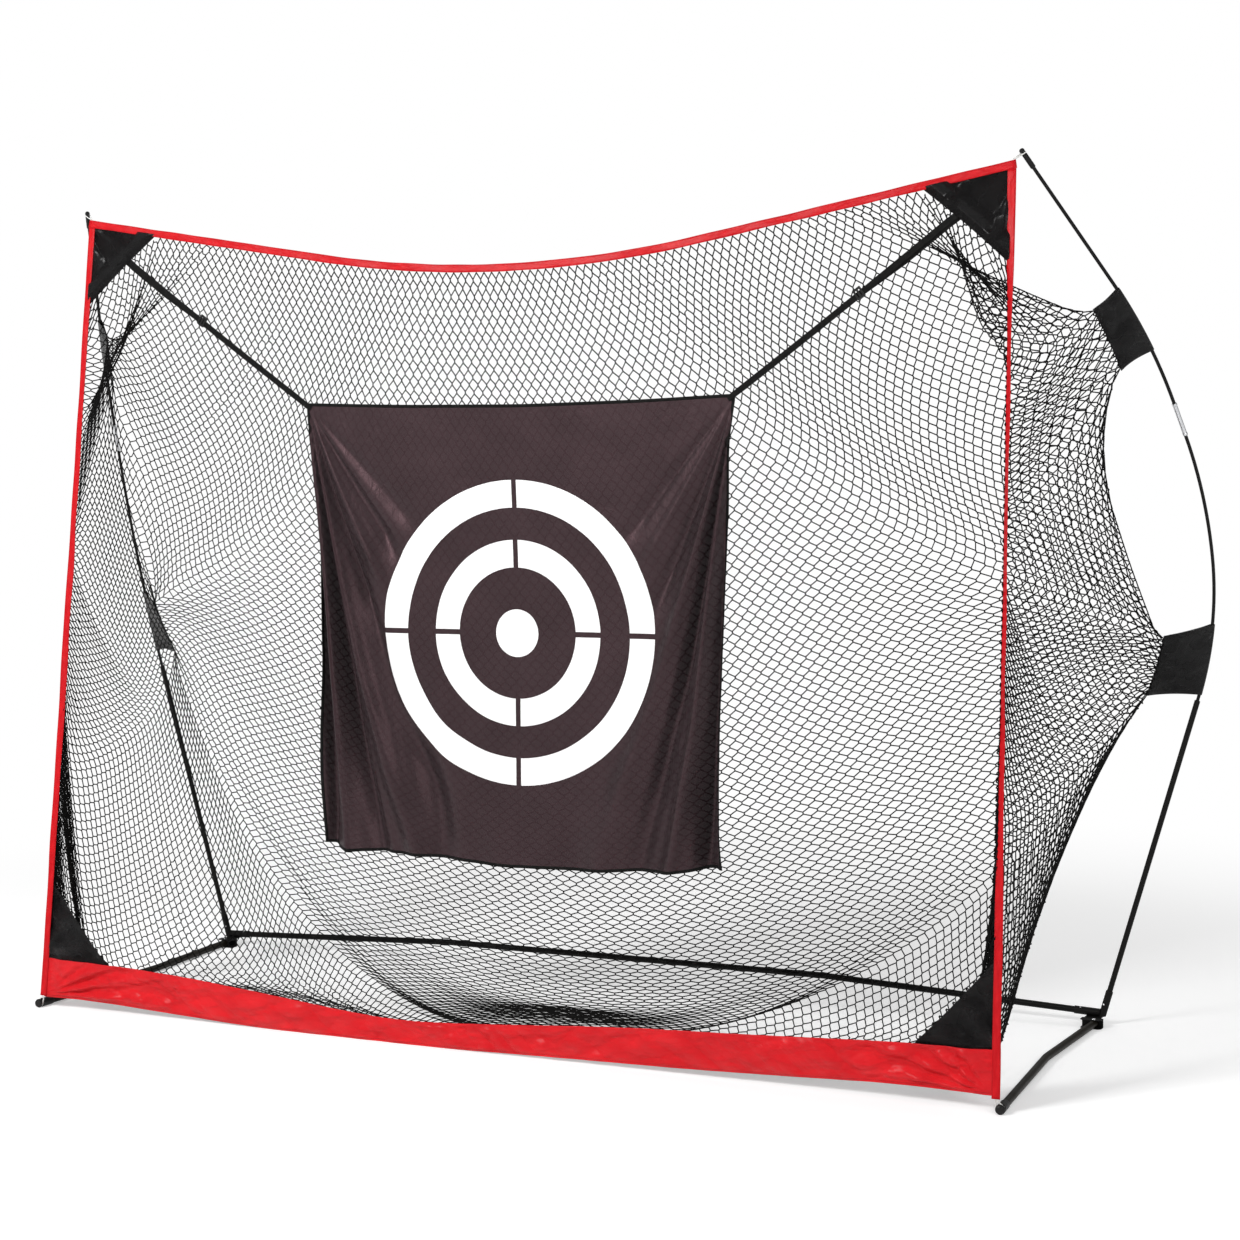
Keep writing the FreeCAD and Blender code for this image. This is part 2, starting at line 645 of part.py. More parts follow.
raised = BAND_REST + BAND_RAISE
band_ends = raised + BAND_HEIGHT
band_plan = band_line(-BAND_THICK / 2) + band_line(BAND_THICK / 2)[::-1]
band_ribbon = Part.Face(Part.makePolygon(band_plan + [band_plan[0]])).extrude(Z_AXIS * 2 * band_ends)
low_points = [
    Vector(-band_half, 0, raised),
    Vector(-BAND_RAISED_X, 0, raised),
    Vector(-BAND_GROUND_X, 0, BAND_REST),
    Vector(BAND_GROUND_X, 0, BAND_REST),
    Vector(BAND_RAISED_X, 0, raised),
    Vector(band_half, 0, raised),
    Vector(band_half, 0, band_ends),
]
top_arc = Part.Arc(
    Vector(band_half, 0, band_ends),
    Vector(0, 0, BAND_REST + BAND_MID_HEIGHT),
    Vector(-band_half, 0, band_ends),
)
band_wire = [Part.LineSegment(p, q).toShape() for p, q in zip(low_points, low_points[1:])]
band_wire.append(top_arc.toShape())
band_wire.append(Part.LineSegment(Vector(-band_half, 0, band_ends), low_points[0]).toShape())
band_face = Part.Face(Part.Wire(band_wire)).translated(Y_AXIS * (BAND_FRONT - BAND_BACK))
nodes["hem_bottom"] = band_ribbon.common(band_face.extrude(Y_AXIS * 3 * BAND_BACK))

# Corner patches


def patch(a, b, c):
    return flat_plate([to_face(Vector(*p, 0)) for p in (a, b, c)], PATCH_THICK, FACE_NORMAL)


slope = math.tan(hem_slope)
patch_edge = SOFT_GAP


def inner_edge(z):
    """Where a patch ends beside the side hem at this height."""
    return hem_x(z) - HEM_WIDTH - patch_edge


inner_x = inner_edge(top_corner.z - HEM_WIDTH)
hem_under = top_corner.z - HEM_WIDTH - slope * (top_corner.x - inner_x) - patch_edge
patch_far = (inner_x - PATCH_TOP_WIDE, hem_under - slope * PATCH_TOP_WIDE)
patch_low = (inner_edge(hem_under - PATCH_TOP_TALL), hem_under - PATCH_TOP_TALL)
pair("patch_top", patch((inner_x, hem_under), patch_far, patch_low))
band_top = band_ends + patch_edge
low_x = inner_edge(band_top)
pair(
    "patch_bottom",
    patch(
        (low_x, band_top),
        (low_x - PATCH_LOW_WIDE, band_top),
        (inner_edge(band_top + PATCH_LOW_TALL), band_top + PATCH_LOW_TALL),
    ),
)

# Elastic loops


def faceted_cord(points, radius, upright):
    """A cord of flat faces along the points, with upright square to its bends."""
    sections = []
    for i, at in enumerate(points):
        ahead = unit(points[min(i + 1, len(points) - 1)] - points[max(i - 1, 0)])
        u = unit(upright - ahead * upright.dot(ahead))
        v = ahead.cross(u)
        turns = [2 * math.pi * k / LOOP_SIDES for k in range(LOOP_SIDES)]
        ring = [at + (u * math.cos(t) + v * math.sin(t)) * radius for t in turns]
        sections.append(Part.makePolygon(ring + [ring[0]]))
    return Part.makeLoft(sections, True, True)


def loop(groove, axis, groove_r, seat, edge):
    """A cord round a groove, with two ends led to a point of a hem's edge."""
    r = groove_r + LOOP_OD / 2 + SOFT_GAP
    toward = seat - groove
    pull = unit(toward - axis * axis.dot(toward))
    side = unit(axis.cross(pull))
    if side.dot(edge) < 0:
        edge = edge * -1
    half = math.acos(r / toward.dot(pull))
    step = (2 * math.pi - 2 * half) / LOOP_RUNS
    wide = r / math.cos(step / 2)
    turns = [half + step * k for k in range(LOOP_RUNS + 1)]
    bow = [groove + (pull * math.cos(t) + side * math.sin(t)) * wide for t in turns]
    apart = edge * (LOOP_OD / 2 + SOFT_GAP)
    return faceted_cord([seat + apart] + bow + [seat - apart], LOOP_OD / 2, axis)


loop_end = LOOP_OD / 2 + SOFT_GAP
tip_seat = on_face(top_corner.x - 2 * LOOP_OD, top_corner.z - 2 * LOOP_OD * slope + loop_end)
hem_run = Vector(math.cos(hem_slope), 0, math.sin(hem_slope))
pair("tip_loop", loop(tip_groove_at, tip_dir, TIP_GROOVE_R, tip_seat, hem_run))
foot_seat = on_face(hem_x(HEM_LOW_Z) - HEM_WIDTH / 2, HEM_LOW_Z - LOOP_OD / 2)
pair("foot_loop", loop(foot_groove, toe_dir, CAP_GROOVE_R, foot_seat, X_AXIS))

# Net
# The bag is sewn from panels, each a flat face or a few that fold along
# lines. A face has square gaps on their points and is as thick as the cord.
# A gap stands for about nine by nine of the real net's 22 mm meshes.


def dihedral_trim(here, other):
    """How far a panel stops before the line that it shares with another."""
    angle = math.acos(max(-1.0, min(1.0, unit(here).dot(unit(other)))))
    return NET_THICK / 2 / math.tan(angle / 2) + SOFT_GAP / 2


def inset(points, trims):
    """A flat outline with each side moved inward by its own distance."""
    count = len(points)
    area = sum(points[i].cross(points[(i + 1) % count]).z for i in range(count))
    sign = 1 if area > 0 else -1
    lines = []
    for i in range(count):
        a, b = points[i], points[(i + 1) % count]
        along_side = unit(b - a)
        normal = Vector(-along_side.y, along_side.x, 0) * sign
        lines.append((a + normal * trims[i], along_side))
    result = []
    for i in range(count):
        p, d = lines[i - 1]
        q, e = lines[i]
        cross = d.x * e.y - d.y * e.x
        t = ((q - p).x * e.y - (q - p).y * e.x) / cross
        result.append(p + d * t)
    return result


def cut_corners(points):
    """The outline with its corners cut off, so that they clear the panels around them."""
    result = []
    for before, at, after in zip(points[-1:] + points[:-1], points, points[1:] + points[:1]):
        result.append(at + unit(before - at) * NET_CORNER_CUT)
        result.append(at + unit(after - at) * NET_CORNER_CUT)
    return result


def outline_face(points):
    return Part.Face(Part.makePolygon(points + [points[0]]))


def net_panel(points, trims, up):
    """A flat net: outline in space, trims per side, and its up direction."""
    origin = points[0]
    normal = unit((points[1] - origin).cross(points[2] - origin))
    v = unit(up - normal * up.dot(normal))
    u = unit(v.cross(normal))
    flat = [Vector((p - origin).dot(u), (p - origin).dot(v), 0) for p in points]
    outer = inset(flat, trims)
    inner = outline_face(inset(outer, [NET_BORDER] * len(outer)))
    outer = cut_corners(outer)
    half = (NET_PITCH - NET_CORD * math.sqrt(2)) / 2
    box = inner.BoundBox
    step = NET_PITCH / 2
    gaps = []
    middle = (box.XMin + box.XMax) / 2
    columns = int((box.XMax - box.XMin) / NET_PITCH) + 2
    rows = int((box.YMax - box.YMin) / step) + 2
    for row in range(-1, rows):
        for column in range(-columns, columns + 1):
            x = middle + column * NET_PITCH + (step if row % 2 else 0)
            y = box.YMin + row * step
            diamond = outline_face(
                [
                    Vector(x - half, y, 0),
                    Vector(x, y - half, 0),
                    Vector(x + half, y, 0),
                    Vector(x, y + half, 0),
                ]
            )
            if not diamond.BoundBox.intersect(box):
                continue
            for piece in diamond.common(inner).Faces:
                if piece.Area > half * half * NET_MIN_GAP:
                    gaps.append(piece.OuterWire)
    gaps.sort(key=lambda w: (round(w.CenterOfMass.y, 3), round(w.CenterOfMass.x, 3)))
    face = Part.Face([outline_face(outer).OuterWire] + gaps)
    face.validate()
    if face.normalAt(0, 0).z < 0:
        face.reverse()
    solid = face.extrude(Vector(0, 0, NET_THICK))
    solid.translate(Vector(0, 0, -NET_THICK / 2))
    place = Matrix(
        u.x, v.x, normal_of(u, v).x, origin.x,
        u.y, v.y, normal_of(u, v).y, origin.y,
        u.z, v.z, normal_of(u, v).z, origin.z,
        0, 0, 0, 1,
    )
    solid.transformShape(place)
    net_gaps.append(len(gaps))
    return solid


def normal_of(u, v):
    return unit(u.cross(v))


def side_of(a, b, inside):
    """Direction in a panel that leads away from the side a-b."""
    d = unit(b - a)
    w = inside - a
    return unit(w - d * w.dot(d))


def shared(a, b, mine, theirs):
    return dihedral_trim(side_of(a, b, mine), side_of(a, b, theirs))


def hem_trim(inside):
    """Trim that brings a panel's front edge up to the back of a hem."""
    into = -FACE_NORMAL.dot(unit(inside))
    return NET_THICK / 2 * (math.sqrt(1 - into ** 2) - 1) / into


def joined(faces):
    """Faces of one panel that meet along its folds."""
    return faces[0].fuse(faces[1:]).removeSplitter()


def even(points, trims, up):
    """A face right of the middle and its mirror image."""
    right_face = net_panel(points, trims, up)
    return [right_face, mirrored(right_face)]


net_gaps = []
hem_clear = HEM_THICK / 2 + SOFT_GAP
behind_hem = -hem_clear - NET_THICK / 2
corner_x = top_corner.x - HEM_WIDTH / 2
T = on_face(corner_x, top_corner.z - NET_HEM_DROP - slope * HEM_WIDTH / 2, behind_hem)
hem_at_flat = hem_outline(NET_HEM_DROP)[1]
H = on_face(hem_at_flat.x, hem_at_flat.y, behind_hem)
F = on_face(hem_x(NET_FOOT_Z) - NET_FOOT_IN, NET_FOOT_Z, behind_hem)
U = pole_at(UPPER_SLEEVE_AT)[0] + Vector(*UPPER_FLAP)
W = pole_at(LOWER_SLEEVE_AT)[0] + Vector(*LOWER_FLAP)
M = (U + W) / 2 + Vector(*NET_WAIST_DRAW)
G = Vector(*NET_HEEL, NET_FLOOR_Z)
roof_n = unit((T - H).cross(U - H))
down = unit(roof_n.cross(X_AXIS))
Hb = H + down * NET_ROOF_RUN
Mb = Vector(*NET_WAIST_MID, M.z)
Wb = Vector(*NET_LOWER_MID, W.z)
Gb = Vector(*NET_HEEL_MID, NET_FLOOR_Z)

# Roof: a middle panel and two that rise with the hem to the corners.
front_trim = hem_trim(down)
roof_mid = [flip(H), H, Hb, flip(Hb)]
roof_mid_trims = [
    front_trim,
    shared(H, Hb, flip(H), T),
    shared(Hb, flip(Hb), H, Mb),
    shared(H, Hb, flip(H), T),
]
nodes["net_roof_middle"] = net_panel(roof_mid, roof_mid_trims, UP_FACE)
roof_side = [H, T, U, Hb]
roof_side_trims = [
    front_trim,
    shared(T, U, H, F),
    shared(U, Hb, T, M),
    shared(Hb, H, T, flip(H)),
]
pair("net_roof", net_panel(roof_side, roof_side_trims, UP_FACE))

# Back: three panels, each drawn forward in its middle and back at the sleeves.


def back_panel(name, top, top_mid, low_mid, low, above, above_mid, below, below_mid, side_top):
    """A panel between two cross lines. The names with mid are where its middle begins."""
    middle = net_panel(
        [flip(top_mid), top_mid, low_mid, flip(low_mid)],
        [
            shared(top_mid, flip(top_mid), low_mid, above_mid),
            0.0,
            shared(low_mid, flip(low_mid), top_mid, below_mid),
            0.0,
        ],
        Z_AXIS,
    )
    outer = even(
        [top_mid, top, low],
        [shared(top, top_mid, low, above), shared(top, low, top_mid, side_top), 0.0],
        Z_AXIS,
    )
    inner = even([top_mid, low, low_mid], [0.0, shared(low, low_mid, top_mid, below), 0.0], Z_AXIS)
    nodes[name] = joined([middle] + outer + inner)


back_panel("net_back_upper", U, Hb, Mb, M, T, H, W, Wb, F)
back_panel("net_back_middle", M, Mb, Wb, W, U, Hb, G, Gb, F)
back_panel("net_back_lower", W, Wb, Gb, G, M, Mb, F, F, F)

# Floor: level at the back, then up to just behind the bottom band.
floor_slope = (G.z - F.z) / (G.y - F.y)
bay_y = BAND_FRONT + BAND_BACK + (BAND_THICK + BAND_FOLD_DEEP) / 2
bay = Vector(BAND_GROUND_X, bay_y, F.z + (bay_y - F.y) * floor_slope)
floor_pts = [F, G, flip(G), flip(F), flip(bay), bay]
floor_trims = [
    shared(F, G, flip(G), W),
    0.0,
    shared(F, G, flip(G), W),
    BAND_THICK,
    SOFT_GAP,
    BAND_THICK,
]
heel_pts = [G, Gb, flip(Gb), flip(G)]
heel_trims = [
    shared(G, Gb, F, Wb),
    shared(Gb, flip(Gb), F, Wb),
    shared(G, Gb, F, Wb),
    0.0,
]
floor_panel = net_panel(floor_pts, floor_trims, Y_AXIS)
heel_panel = net_panel(heel_pts, heel_trims, Y_AXIS)
nodes["net_floor"] = joined([floor_panel, heel_panel])

# Sides: the panel behind each side hem, and the gusset below it.
side_faces = [
    net_panel([F, T, U], [hem_trim(side_of(F, T, W)), shared(T, U, F, H), 0.0], Z_AXIS),
    net_panel([F, U, M], [0.0, shared(U, M, F, Hb), 0.0], Z_AXIS),
    net_panel([F, M, W], [0.0, shared(M, W, F, Mb), shared(W, F, M, G)], Z_AXIS),
]
pair("net_side", joined(side_faces))
gusset = [F, W, G]
gusset_trims = [
    shared(F, W, G, M),
    shared(W, G, F, Wb),
    shared(F, G, W, flip(G)),
]
pair("net_gusset", net_panel(gusset, gusset_trims, Z_AXIS))

# Pole sleeves


def sleeve(at, corner):
    """A cloth sleeve on the rod, with a flap that ends at the net."""
    start, end = at - SLEEVE_LENGTH / 2, at + SLEEVE_LENGTH / 2
    inner = ROD_OD / 2 + SOFT_GAP
    outer = inner + SLEEVE_WALL
    ring = pole_tube(start, end, outer)
    low, high = pole_at(start)[0], pole_at(end)[0]
    rod_dir = unit(high - low)
    middle = pole_at(at)[0]
    reach = corner - middle
    net_mid = middle + reach * (1 - FLAP_SHORT / reach.Length)
    flap_pts = [
        low + rod_dir * FLAP_IN,
        high - rod_dir * FLAP_IN,
        net_mid + rod_dir * FLAP_END / 2,
        net_mid - rod_dir * FLAP_END / 2,
    ]
    normal = unit((flap_pts[1] - flap_pts[0]).cross(net_mid - middle))
    flap = flat_plate(flap_pts, FLAP_THICK, normal)
    return ring.fuse(flap).cut(pole_tube(start - FLAP_IN, end + FLAP_IN, inner))


pair("sleeve_upper", sleeve(UPPER_SLEEVE_AT, U))
pair("sleeve_lower", sleeve(LOWER_SLEEVE_AT, W))

# Target cloth. It hangs from the long edges of the upper patches.
seat_x = patch_far[0] + (patch_low[0] - patch_far[0]) * STRAP_SHARE
seat_z = patch_far[1] + (patch_low[1] - patch_far[1]) * STRAP_SHARE
strap_y = on_face(seat_x, seat_z).y
TARGET_Y = strap_y + (STRAP_THICK + TARGET_THICK) / 2 + SOFT_GAP


def target_section(half, z, deep):
    """The cloth cut level at a height: a wave of even folds."""
    steps = TARGET_FOLDS * FOLD_STEPS
    front, back = [], []
    for i in range(steps + 1):
        x = -half + 2 * half * i / steps
        y = TARGET_Y + deep * math.sin(math.pi * i / FOLD_STEPS)
        front.append(Vector(x, y - TARGET_THICK / 2, z))
        back.append(Vector(x, y + TARGET_THICK / 2, z))
    return Part.makePolygon(front + back[::-1] + [front[0]])


nodes["target_cloth"] = Part.makeLoft(
    [
        target_section(TARGET_TOP_HALF, TARGET_TOP_Z, TARGET_FOLD_TOP),
        target_section(TARGET_MID_HALF, TARGET_MID_Z, TARGET_FOLD_MID),
        target_section(TARGET_LOW_HALF, TARGET_LOW_Z, TARGET_FOLD_LOW),
    ],
    True,
    True,
)

# Straps and sliders
patch_run = unit(Vector(patch_low[0] - patch_far[0], 0, patch_low[1] - patch_far[1]))
strap_seat = Vector(seat_x, strap_y, seat_z)
strap_b = Vector(TARGET_TOP_HALF - STRAP_END_IN, strap_y, TARGET_TOP_Z - STRAP_END_IN)
strap_dir = unit(strap_b - strap_seat)
strap_side = unit(strap_dir.cross(Y_AXIS))
strap_skew = strap_side.dot(patch_run)
strap_a = strap_seat + strap_dir * SOFT_GAP * 1.5


def strap_box(start, length, wide, thick):
    """A box along the strap, centred on its line."""
    corner = strap_a + strap_dir * start - strap_side * wide / 2 - Y_AXIS * thick / 2
    outline = [
        corner,
        corner + strap_dir * length,
        corner + strap_dir * length + strap_side * wide,
        corner + strap_side * wide,
    ]
    return Part.Face(Part.makePolygon(outline + [outline[0]])).extrude(Y_AXIS * thick)


strap_length = (strap_b - strap_a).Length
skew_end = patch_run * (STRAP_WIDTH / 2 / strap_skew)
half_wide = strap_side * (STRAP_WIDTH / 2)
strap_front = Y_AXIS * (-STRAP_THICK / 2)
strap_outline = [
    strap_a - skew_end + strap_front,
    strap_b - half_wide + strap_front,
    strap_b + half_wide + strap_front,
    strap_a + skew_end + strap_front,
]
strap_face = Part.Face(Part.makePolygon(strap_outline + [strap_outline[0]]))
pair("target_strap", strap_face.extrude(Y_AXIS * STRAP_THICK))
slider_at = strap_length * SLIDER_AT
slider = strap_box(slider_at, SLIDER_LONG, SLIDER_WIDE, SLIDER_THICK)
slot = strap_box(slider_at - 1, SLIDER_LONG + 2, STRAP_WIDTH + 2 * SLIDER_GAP, STRAP_THICK + 2 * SLIDER_GAP)
window_long = (SLIDER_LONG - 3 * SLIDER_BAR) / 2
slider = slider.cut(slot)
for k in range(2):
    at = slider_at + SLIDER_BAR + k * (window_long + SLIDER_BAR)
    slider = slider.cut(strap_box(at, window_long, STRAP_WIDTH + 2 * SLIDER_GAP, SLIDER_THICK + 2))
pair("strap_slider", slider)

# Place and export
# The origin is on the ground, midway across the whole object each way.
low_y = min(s.BoundBox.YMin for s in (nodes["foot_cap_right"], nodes["hem_bottom"]))
hindmost = ("upright_tube_right", "sleeve_lower_right", "rod_lower_right")
high_y = max(nodes[name].optimalBoundingBox(False, False).YMax for name in hindmost)
shift = Vector(0, -(low_y + high_y) / 2, 0)
for name, shape in nodes.items():
    shape.translate(shift)
    if len(shape.Solids) != 1:
        print("not one solid:", name, len(shape.Solids))
    shape = shape.Solids[0]
    if not shape.isValid():
        print("not valid:", name)
    shape.exportStep("parts/" + name + ".step")

print("nodes", len(nodes), "gaps", net_gaps, sum(net_gaps))
print("shift", shift, "depth", high_y - low_y)
for label, point in (
    ("leg pin", Vector(PIN_X, PIN_Y, LEG_Z) + shift),
    ("upright button", upright_button + shift),
    ("upright button axis", button_dir),
    ("bar button", bar_button + shift),
    ("bar button axis", bar_button_dir),
    ("strap top", strap_a + shift),
    ("strap direction", strap_dir),
    ("slider", strap_a + strap_dir * (slider_at + SLIDER_LONG / 2) + shift),
):
    print(label, [round(v, 3) for v in point])
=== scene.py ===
"""Golf chipping net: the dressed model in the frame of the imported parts.

Metres, Z up, the mouth of the bag faces -Y. Right-hand pieces are at +X.
"""

import math

import bpy
import numpy as np
from mathutils import Matrix, Vector


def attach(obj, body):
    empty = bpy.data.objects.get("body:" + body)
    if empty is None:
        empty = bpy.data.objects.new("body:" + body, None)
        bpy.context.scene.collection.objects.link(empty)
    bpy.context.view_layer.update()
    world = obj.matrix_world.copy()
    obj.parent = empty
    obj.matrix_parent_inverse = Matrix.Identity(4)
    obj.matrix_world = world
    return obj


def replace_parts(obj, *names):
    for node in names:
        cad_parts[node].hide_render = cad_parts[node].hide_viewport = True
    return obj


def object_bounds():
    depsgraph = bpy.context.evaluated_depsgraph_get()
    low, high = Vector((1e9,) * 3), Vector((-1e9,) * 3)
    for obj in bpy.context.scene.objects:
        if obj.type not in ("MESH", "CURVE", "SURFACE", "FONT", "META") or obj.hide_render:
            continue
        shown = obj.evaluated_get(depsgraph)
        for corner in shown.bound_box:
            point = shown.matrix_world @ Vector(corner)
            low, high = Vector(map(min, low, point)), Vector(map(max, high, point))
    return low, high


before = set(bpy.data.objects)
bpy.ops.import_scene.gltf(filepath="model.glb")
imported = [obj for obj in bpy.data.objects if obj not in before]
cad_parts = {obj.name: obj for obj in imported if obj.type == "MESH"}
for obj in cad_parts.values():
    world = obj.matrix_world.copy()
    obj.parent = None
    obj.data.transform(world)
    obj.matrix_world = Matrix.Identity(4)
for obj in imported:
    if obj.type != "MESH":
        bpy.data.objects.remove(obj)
cad_low, cad_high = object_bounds()
scene = bpy.context.scene
SIDES = (("right", 1), ("left", -1))

# Camera: where the photograph was taken from
CAMERA_AT = (3.3065, -6.3144, 1.7238)
CAMERA_YAW = 0.45341
CAMERA_PITCH = -0.07628
CAMERA_ROLL = -0.01586
CAMERA_LENS = 70.4

# The mouth's leaning plane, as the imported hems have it
LEAN = 0.128918
FOOT_Y = -0.5076
HEM_LOW_Z = 0.037
LEG_Z = 0.013
HEM_LOW_X = 1.522
CORNER_X = 1.48043
CORNER_Z = 2.41309
HEM_WIDTH = 0.023
HEM_SLOPE = math.radians(9.65)
HEM_FLAT_X = 0.6

# Bottom band
BAND_HALF = 1.4973
BAND_FRONT = -0.5036
BAND_BOW = 0.030
BAND_TOP = (
    # x and height of its upper edge
    (-1.50, 0.153), (-1.23, 0.145), (-1.05, 0.135), (-0.86, 0.119), (-0.61, 0.095),
    (-0.40, 0.075), (-0.26, 0.067), (-0.12, 0.073), (0.10, 0.088), (0.30, 0.104),
    (0.52, 0.118), (0.80, 0.129), (1.05, 0.143), (1.25, 0.155), (1.50, 0.159),
)
BAND_LOW = (
    # x and height of its lower edge
    (-1.50, 0.034), (-1.36, 0.033), (-1.23, 0.026), (-0.98, 0.012), (-0.74, 0.001), (-0.12, 0.0006),
    (0.30, 0.011), (0.62, 0.017), (0.93, 0.029), (1.22, 0.043), (1.50, 0.044),
)

# Corner patches in the mouth's plane: x and height of the right angle and the two others
PATCHES = {
    "top": ((1.4575, 2.3859), (1.2325, 2.3476), (1.4616, 2.1539)),
    "bottom": ((1.4963, 0.1527), (1.4924, 0.3777), (1.2843, 0.1527)),
}

# Netting
MESHES = 124
ROWS = 82
BAR = 0.0265
TWINE_R = 0.0020
KNOT_R = 0.0027
KNOT_HALF = 0.0048

# Thicknesses of cloth and webbing
HEM_THICK = 0.0026
BAND_THICK = 0.0014
PATCH_THICK = 0.0010
SLEEVE_THICK = 0.0012
STRAP_THICK = 0.0013

# Target cloth
TARGET_Y = -0.2157
RING_CENTRE = (0.0, 1.16)
RING_R = 0.44
RINGS = ((0.82, 1.0), (0.43, 0.61))  # shares of RING_R
RING_GAP = 0.0175
RING_DOT = 0.156


# Geometry


def mouth_y(z):
    """Where the mouth's plane is at a height."""
    return FOOT_Y + (z - HEM_LOW_Z) * math.tan(LEAN)


def hem_x(z):
    """Outer edge of a side hem."""
    return HEM_LOW_X + (CORNER_X - HEM_LOW_X) * (z - LEG_Z) / (CORNER_Z - LEG_Z)


def top_z(x):
    """Upper edge of the top hem."""
    x = np.abs(x)
    radius = HEM_FLAT_X / math.sin(HEM_SLOPE)
    arc_z = CORNER_Z - math.tan(HEM_SLOPE) * (CORNER_X - HEM_FLAT_X)
    low = arc_z - radius * (1 - math.cos(HEM_SLOPE))
    arc = low + radius - np.sqrt(np.maximum(radius**2 - x**2, 0))
    return np.where(x > HEM_FLAT_X, CORNER_Z - math.tan(HEM_SLOPE) * (CORNER_X - x), arc)


def band_y(x):
    """The band bows back between its ends."""
    return BAND_FRONT + BAND_BOW * (1 - np.minimum(np.abs(x) / BAND_HALF, 1) ** 4)


def smooth_line(table, t, spread):
    """Value of a table at t, averaged over this distance to both sides."""
    at, value = zip(*table)
    return sum(np.interp(t + spread * k, at, value) for k in (-1, -0.5, 0, 0.5, 1)) / 5


def band_top(x):
    """Upper edge of the band, which sags more on the left."""
    return smooth_line(BAND_TOP, x, 0.10)


def band_low(x):
    """Its lower edge, which lies on the ground at the left of the middle."""
    return smooth_line(BAND_LOW, x, 0.10)


def band_at(x, z):
    """Where the band's cloth is: its ends tuck in behind the side hems."""
    tuck = np.clip((np.abs(x) - BAND_HALF + 0.06) / 0.05, 0, 1)
    tuck = tuck * tuck * (3 - 2 * tuck)
    return band_y(x) * (1 - tuck) + (mouth_y(z) + 0.0026) * tuck


def wave(rng, count, low, high):
    """A sum of sines, the same each run, as a function of one number."""
    freq = rng.uniform(low, high, count)
    phase = rng.uniform(0, 2 * math.pi, count)
    return lambda t: sum(np.sin(f * t + p) for f, p in zip(freq, phase)) / math.sqrt(count)


def crumple(u, v, rng, scale, count=5):
    """Ridged creases in all directions on a flat piece, about -1 to 1."""
    total = np.zeros_like(u)
    for i in range(count):
        angle = rng.uniform(0, math.pi)
        step = scale * rng.uniform(0.7, 1.6)
        bend = 0.35 * np.sin((u * math.cos(angle + 1.3) + v * math.sin(angle + 1.3)) * 2.2 / step + i)
        t = (u * math.cos(angle) + v * math.sin(angle)) / step + bend + rng.uniform(0, 6)
        total += 1 - 2 * np.abs(np.sin(t))
    return total / count


def unit(way):
    length = np.linalg.norm(way, axis=-1, keepdims=True)
    return np.where(length > 1e-6, way / np.maximum(length, 1e-9), [0.0, 0.0, -1.0])


def square_to(way):
    """Two directions square to each of these and to each other."""
    helper = np.where(np.abs(way[:, 2:3]) > 0.9, [[1.0, 0.0, 0.0]], [[0.0, 0.0, 1.0]])
    wide = unit(np.cross(way, helper))
    return wide, np.cross(way, wide)


def run_along(points):
    """Distance from the first point along a line of points."""
    return np.concatenate([[0], np.cumsum(np.linalg.norm(np.diff(points, axis=0), axis=1))])


def add_object(name, data):
    obj = bpy.data.objects.new(name, data)
    scene.collection.objects.link(obj)
    return obj


def finish_piece(name, data, material, body):
    data.materials.append(material)
    obj = add_object(name, data)
    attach(obj, body)
    return obj


def mesh_from(name, verts, face_sets, uv=None):
    """A mesh from points and arrays of faces; the faces of one array have equal corners."""
    verts = np.asarray(verts, np.float64).reshape(-1, 3)
    loops = np.concatenate([np.ravel(faces) for faces in face_sets]).astype(np.int32)
    corners = np.concatenate([np.full(len(faces), len(faces[0])) for faces in face_sets])
    mesh = bpy.data.meshes.new(name)
    mesh.vertices.add(len(verts))
    mesh.vertices.foreach_set("co", verts.astype(np.float32).ravel())
    mesh.loops.add(len(loops))
    mesh.loops.foreach_set("vertex_index", loops)
    mesh.polygons.add(len(corners))
    mesh.polygons.foreach_set("loop_start", (np.cumsum(corners) - corners).astype(np.int32))
    if uv is not None:
        layer = mesh.uv_layers.new(name="flat")
        layer.data.foreach_set("uv", np.asarray(uv, np.float32).reshape(-1, 2)[loops].ravel())
    mesh.update(calc_edges=True)
    mesh.validate()
    mesh.shade_smooth()
    return mesh


def grid_faces(rows, cols, closed=False, looped=False):
    """Quads of a grid of points; closed joins its last column to the first, looped its last row."""
    i, j = np.meshgrid(np.arange(rows - (not looped)), np.arange(cols - (not closed)), indexing="ij")
    i2, j2 = (i + 1) % rows, (j + 1) % cols
    return np.stack([i * cols + j, i * cols + j2, i2 * cols + j2, i2 * cols + j], -1).reshape(-1, 4)


def add_sheet(name, grid, material, body, thick=0.0, uv=None):
    """A piece of cloth from a grid of points, with a real thickness and its map in metres."""
    rows, cols = grid.shape[:2]
    if uv is None:
        uv = np.stack(np.meshgrid(run_along(grid[rows // 2]), run_along(grid[:, cols // 2])), -1)
    obj = finish_piece(name, mesh_from(name, grid, [grid_faces(rows, cols)], uv), material, body)
    if thick:
        solid = obj.modifiers.new("thickness", "SOLIDIFY")
        solid.thickness = thick
        solid.offset = 0.0
        solid.use_even_offset = False
    return obj


# Half of a strip's section, with rounded edges, and then all of it
SECTION = [(-1, -0.4), (-0.895, -1), (-0.5, -1), (0, -1), (0.5, -1), (0.895, -1), (1, -0.4)]
SECTION += [(-a, -b) for a, b in SECTION]


